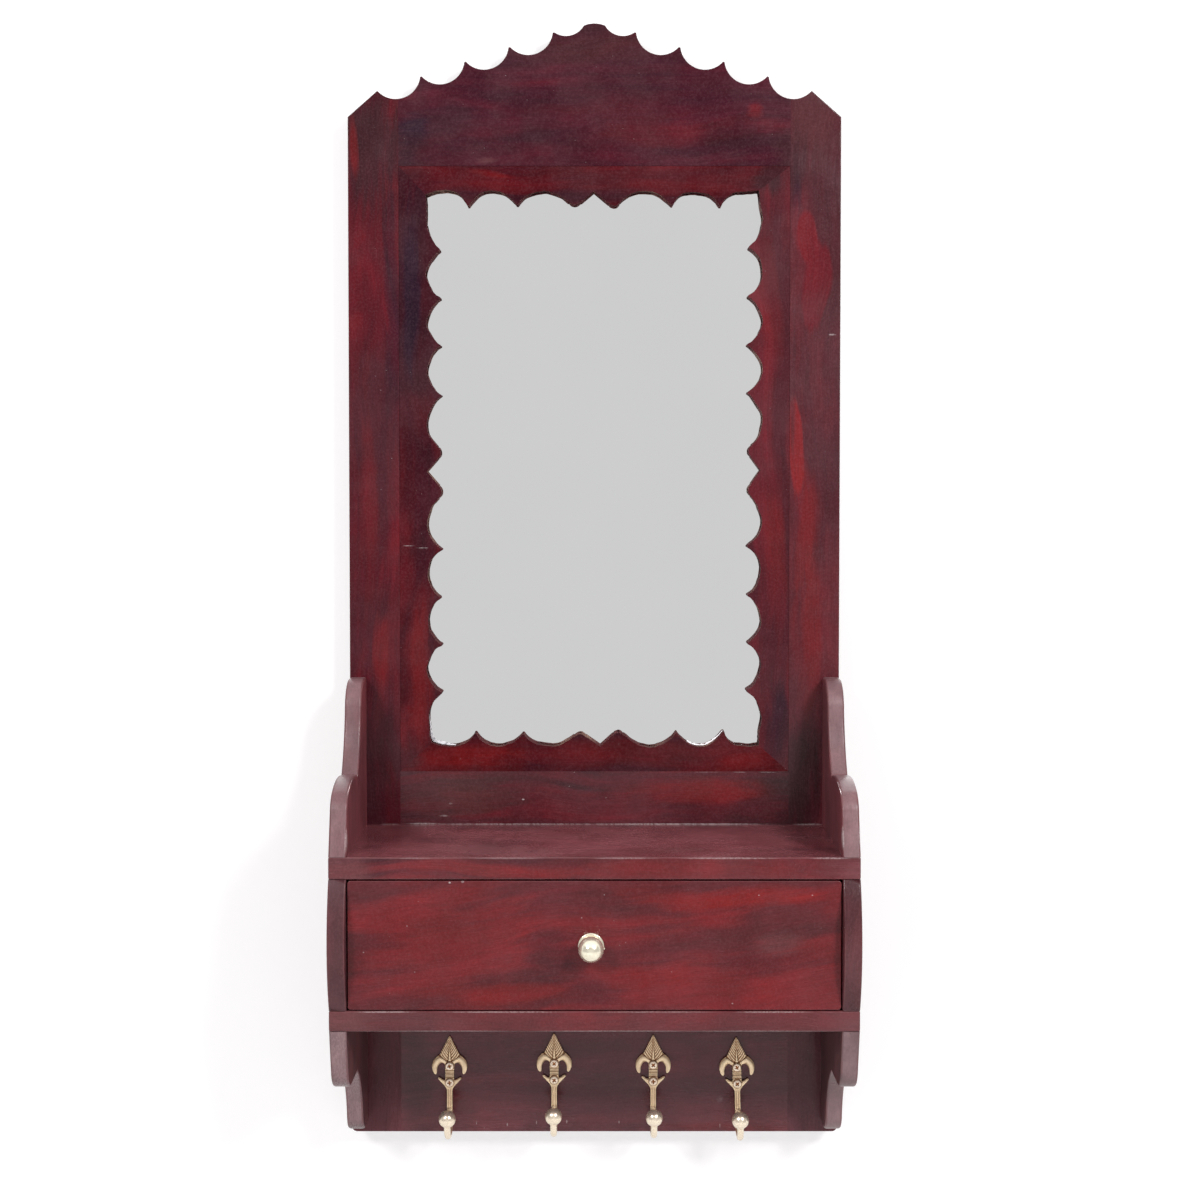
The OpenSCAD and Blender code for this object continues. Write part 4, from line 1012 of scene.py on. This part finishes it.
screw_set(
    "hook_screws_cross", "hook_screws", screw_mesh(pan_head(3.1, 1.5), 1.4, 15.5, 1.1, 2.0, 0.55),
    [(place @ at(0, -HOOK_T, z) @ TO_FRONT, turn)
     for place, turns in zip(hook_places, ((8, 20), (52, 45), (3, 48), (40, 30)))
     for z, turn in zip((0, SCREW_GAP), turns)],
    screw_brass,
)
screw_set(
    "case_screws_cross", "case_screws", screw_mesh(flat_head(3.8, 1.9), 1.9, 36.0, 1.8, 2.2, 1.4),
    [(at(x, -0.2, z) @ TO_BACK, 13 * x + 7 * z)
     for x, z in [(x, z) for x in (-159.75, 0, 159.75) for z in (219, 116)]
     + [(x, z) for x in (-172, 172) for z in (307.5, 33.25)]],
    zinc,
)
screw_set(
    "hanger_screws_cross", "hanger_screws", screw_mesh(flat_head(2.8, 1.4), 1.4, 9.5, 1.2, 1.6, 1.0),
    [(at(x, 0, 690.5 + s * 19) @ TO_BACK, 11 * x + 50 * s) for x in (-159.75, 159.75) for s in (-1, 1)],
    zinc,
)

# ---------------------------------------------------------------- drawer

KNOB_AT, KNOB_R, KNOB_REACH = (-2.3, CASE_Y, 167.25), 8.5, 10.6
ball_rows = arc((0, KNOB_REACH), KNOB_R, -61.5, 90, 60)
knob = lathe(
    [(0, 0), (8.5, 0), (8.75, 0.25), (8.75, 0.9), (8.6, 1.4), (8.2, 1.75), (7.4, 1.95), (5.2, 2.0), (4.2, 2.2),
     (3.95, 2.6)] + ball_rows, 96,
)
bmesh.ops.remove_doubles(knob, verts=knob.verts, dist=1e-7)
nub = bmesh.ops.create_icosphere(knob, subdivisions=3, radius=0.75 * MM, matrix=at(8.7, -1.6, 1.2))
bmesh.ops.transform(knob, matrix=at(*KNOB_AT) @ TO_FRONT, verts=knob.verts)
finish_piece(smooth(new_object("drawer_knob_turned", knob), 50), "drawer_knob", knob_brass)
finish_piece(
    eased("drawer_front", 1.1, on=[("y", CASE_Y)], corner=2.2),
    "drawer_front",
    stained(
        "stain_drawer_front", "x", 18, lean=6.0, redness=0.7, shine=0.24, mid=(0.153, 0.0108, 0.0138), dark=(0.082, 0.0095, 0.0130),
        patches=[
            ((-28, -136, 160), (30, 9, 20), DARK, 0.45), ((6, -136, 138), (26, 9, 14), DARK, 0.35),
            ((95, -136, 199), (75, 9, 8), BRIGHT, 0.45), ((40, -136, 148), (60, 9, 8), RED, 0.8),
            ((-120, -136, 180), (40, 9, 24), RED, 0.35), ((110, -136, 160), (40, 9, 14), DARK, 0.4),
            ((-70, -136, 135), (60, 9, 7), BRIGHT, 0.35), ((124, -136, 170), (24, 9, 9), (0.150, 0.060, 0.062), 0.3),
        ],
        marks=[((x, -136, z), (r, 2, 0.8 * r), s) for x, z, r, s in (
            (-96.7, 209.7, 1.0, 0.7), (-88, 210.2, 1.3, 0.5), (-125.3, 180.5, 0.5, 0.6), (-120.2, 149.5, 0.6, 0.7),
            (-154.4, 162.7, 0.6, 0.5), (6.6, 201.5, 0.5, 0.6), (109.8, 201.2, 0.6, 0.6), (145.6, 201.2, 0.6, 0.6),
            (92.4, 128.2, 0.8, 0.4), (-8.5, 186, 0.5, 0.5),
        )],
    ),
)

pale_wood = raw_wood("raw_wood", "x", 1, (0.46, 0.30, 0.17), (0.30, 0.17, 0.085))
pale_wood_deep = raw_wood("raw_wood_deep", "y", 2, (0.44, 0.29, 0.16), (0.28, 0.16, 0.08))
board = hardboard("hardboard")
for name, width in {"drawer_left_side": 0.7, "drawer_right_side": 0.7, "drawer_back": 0.7, "drawer_bottom": 0.4}.items():
    finish_piece(eased(name, width), name, pale_wood_deep if "side" in name else pale_wood)

# Parts behind and inside the panel
finish_piece(eased("backing_board", 0.5), "backing_board", board)
finish_piece(eased("mirror_glass", 0.7), "mirror_glass", silvered("mirror_silver"))
for name in ("left_hanger_plate", "right_hanger_plate"):
    finish_piece(eased(name, 0.3, on=[("y", 0.0)], hole=12.0), name, zinc)



def glass_and_glint_sliver(name, path, widths, seed, bright=0.78, share=0.6):
    """An uneven pale sliver that lies on the mirror along a path of (x, z), in millimetres; its pale spots are painted
    glints.
    """
    bm = bmesh.new()
    rows = []
    count = 90
    for i in range(count + 1):
        t = i / count * (len(path) - 1)
        k = min(int(t), len(path) - 2)
        a, b = Vector(path[k]), Vector(path[k + 1])
        spot = a.lerp(b, t - k)
        along = (b - a).normalized()
        inward = Vector((-along.y, along.x))
        rough = noise.noise(Vector((i * 0.23, seed, 0)))
        wide = (widths[k] + (widths[k + 1] - widths[k]) * (t - k)) * (1 + 0.5 * rough)
        high = 0.35 + 0.25 * noise.noise(Vector((i * 0.31, seed + 5, 0)))
        points = [(spot - 0.6 * inward, 0.02), (spot, high), (spot + 0.55 * wide * inward, 0.8 * high), (spot + wide * inward, 0.02)]
        rows.append([bm.verts.new((p.x * MM, (-9.0 - h) * MM, p.y * MM)) for p, h in points])
    for low, high_row in zip(rows, rows[1:]):
        for j in range(4):
            k = (j + 1) % 4
            bm.faces.new((low[j], low[k], high_row[k], high_row[j]))
    bm.faces.new(rows[0])
    bm.faces.new(rows[-1])
    bmesh.ops.recalc_face_normals(bm, faces=bm.faces)
    obj = smooth(new_object(name, bm), 25)
    p = Paint("cut_glass_glints")
    glints, _ = p.noise(p.place, 420.0, 3.0, 0.6)
    p.set(
        colour=p.mix(p.ramp(glints, share - 0.26, share), (0.20, 0.18, 0.22), (bright, 0.98 * bright, 1.03 * bright)),
        rough=p.ramp(glints, 0.4, 0.7, 0.35, 0.5),
    )
    obj.data.materials.append(p.material)
    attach(obj, "frame")
    return obj


# A chipped glass edge at the lower left corner of the opening
glass_and_glint_sliver(
    "glass_edge", [(-121.9, 312), (-121.6, 300), (-120.3, 291), (-118.2, 286.4), (-110, 283.8), (-102, 281.8), (-96, 281.4)],
    (0.9, 1.5, 1.7, 1.9, 2.1, 2.2, 0.4), 3, 0.78, 0.5,
)
# A pale line along a lobe at the bottom right: painted reflection of the bottom strip's lit edge in the mirror
glass_and_glint_sliver(
    "reflected_edge_right", [(67.6, 286.8), (71, 284.4), (76.4, 282.9), (81, 283.4), (86.4, 286.6), (91, 290.4), (93.8, 294.2)],
    (0.4, 0.9, 1.2, 1.1, 0.9, 0.8, 0.3), 8, 0.95, 0.42,
)

# ---------------------------------------------------------------- carried-over CAD nodes

plain = {
    "raw_wood": pale_wood,
    "hardboard": board,
    "steel": zinc,
    "aged_brass": hook_brass,
    "polished_brass": knob_brass,
}
for name, obj in NODES.items():
    if not obj.hide_render:
        obj.data.materials.clear()
        obj.data.materials.append(plain[SLOT_OF[name]])

# ---------------------------------------------------------------- stage, light and camera

def stage_plane(name, centre, across, up, fade_from, fade_to, colour, glow):
    """A pale plane that fades out towards its rim."""
    bm = bmesh.new()
    a, b, c = Vector(across), Vector(up), Vector(centre)
    bm.faces.new([bm.verts.new(c + s * a + t * b) for s, t in ((-1, -1), (1, -1), (1, 1), (-1, 1))])
    obj = new_object(name, bm)
    p = Paint(f"{name}_paint")
    p.tree.nodes.remove(p.shader)
    far = p.length(p.vector("SUBTRACT", p.place, tuple(centre)))
    light_path = p.node("ShaderNodeLightPath")
    seen = light_path.outputs["Is Camera Ray"]
    glow_node = p.node("ShaderNodeEmission", {"Color": (1, 1, 1), "Strength": p.math("MULTIPLY", seen, glow)})
    cloth = p.node("ShaderNodeAddShader", {
        0: p.node("ShaderNodeBsdfDiffuse", {"Color": colour}).outputs[0], 1: glow_node.outputs[0]})
    clear = p.node("ShaderNodeBsdfTransparent")
    back = p.node("ShaderNodeNewGeometry").outputs["Backfacing"]
    hidden = p.math("MAXIMUM", back, p.ramp(far, fade_from, fade_to))
    mixed = p.node("ShaderNodeMixShader", {0: hidden, 1: cloth.outputs[0], 2: clear.outputs[0]})
    p.link(mixed.outputs[0], p.out.inputs[0])
    obj.data.materials.append(p.material)
    return obj


wall = stage_plane("backdrop", (0, 0.002, 0.42), (1.6, 0, 0), (0, 0, 1.6), 0.75, 1.3, (0.50, 0.485, 0.49), 0.56)
for ray in ("diffuse", "glossy", "transmission", "shadow", "volume_scatter"):
    setattr(wall, f"visible_{ray}", False)
floor = stage_plane("floor", (0, -0.2, -0.30), (1.4, 0, 0), (0, 1.4, 0), 0.6, 1.2, (0.86, 0.86, 0.86), 0.22)

world = bpy.data.worlds.new("studio")
bpy.context.scene.world = world
world.use_nodes = True
tree = world.node_tree
tree.nodes.clear()


def world_node(kind, **settings):
    made = tree.nodes.new(kind)
    for key, value in settings.items():
        setattr(made, key, value)
    return made


FRONT_GREY, ROOM_GREY, LOW_GREY, HIGH_GREY, CEILING, SURROUND = 0.64, 0.42, 1.05, 0.36, 1.25, 0.42


def world_ramp(value, low, high, to_low, to_high):
    made = world_node("ShaderNodeMapRange", interpolation_type="SMOOTHSTEP")
    for key, number in {"From Min": low, "From Max": high, "To Min": to_low, "To Max": to_high}.items():
        made.inputs[key].default_value = number
    tree.links.new(value, made.inputs["Value"])
    return made.outputs[0]


def world_blend(factor, a, b):
    made = world_node("ShaderNodeMix", data_type="FLOAT")
    for socket, value in (("Factor", factor), ("A", a), ("B", b)):
        if isinstance(value, float):
            made.inputs[socket].default_value = value
        else:
            tree.links.new(value, made.inputs[socket])
    return made.outputs["Result"]


path = world_node("ShaderNodeLightPath")
way = world_node("ShaderNodeSeparateXYZ")
tree.links.new(world_node("ShaderNodeTexCoord").outputs["Generated"], way.inputs[0])
level = world_ramp(way.outputs["Y"], -0.95, -0.80, FRONT_GREY, ROOM_GREY)
level = world_blend(world_ramp(way.outputs["Z"], -0.16, -0.27, 0.0, 1.0), level, LOW_GREY)
level = world_blend(world_ramp(way.outputs["Z"], 0.17, 0.32, 0.0, 1.0), level, HIGH_GREY)
level = world_blend(world_ramp(way.outputs["Z"], 0.45, 0.65, 0.0, 1.0), level, CEILING)
glossy_tone = world_blend(world_ramp(way.outputs["Y"], -0.35, 0.05, 0.0, 1.0), level, 1.0)
reflected = world_node("ShaderNodeMath", operation="MAXIMUM")
tree.links.new(path.outputs["Is Glossy Ray"], reflected.inputs[0])
tree.links.new(path.outputs["Is Transmission Ray"], reflected.inputs[1])
tone = world_blend(reflected.outputs[0], SURROUND, glossy_tone)
shown = world_blend(path.outputs["Is Camera Ray"], tone, 1.0)
background = world_node("ShaderNodeBackground")
background.inputs["Color"].default_value = (1, 1, 1, 1)
tree.links.new(shown, background.inputs["Strength"])
tree.links.new(background.outputs[0], world_node("ShaderNodeOutputWorld").inputs[0])


def lamp(name, place, target, size, power):
    data = bpy.data.lights.new(name, "AREA")
    data.shape = "RECTANGLE"
    data.size, data.size_y = size
    data.energy = power
    obj = bpy.data.objects.new(name, data)
    bpy.context.scene.collection.objects.link(obj)
    obj.location = place
    obj.rotation_euler = (Vector(target) - Vector(place)).to_track_quat("-Z", "Y").to_euler()


lamp("left_box", (-1.00, -1.45, 1.25), (0, 0, 0.35), (0.35, 0.45), 18)
lamp("right_box", (1.00, -1.45, 1.25), (0, 0, 0.35), (0.35, 0.45), 25)
lamp("back", (0.2, 1.6, 1.4), (0, 0, 0.4), (1.8, 1.8), 17)

CAMERA_PLACE = (0.0001, -1.3912, 0.4843)
CAMERA_TILT = 1.902
camera_data = bpy.data.cameras.new("camera")
camera_data.sensor_width = 36
camera_data.lens = 56.77
camera_data.shift_x = 0.0045
camera_data.shift_y = -0.055
camera_data.clip_start = 0.05
camera = bpy.data.objects.new("camera", camera_data)
bpy.context.scene.collection.objects.link(camera)
camera.location = CAMERA_PLACE
camera.rotation_euler = (math.radians(90 - CAMERA_TILT), 0, 0)
bpy.context.scene.camera = camera

bpy.context.scene.view_settings.view_transform = "Standard"
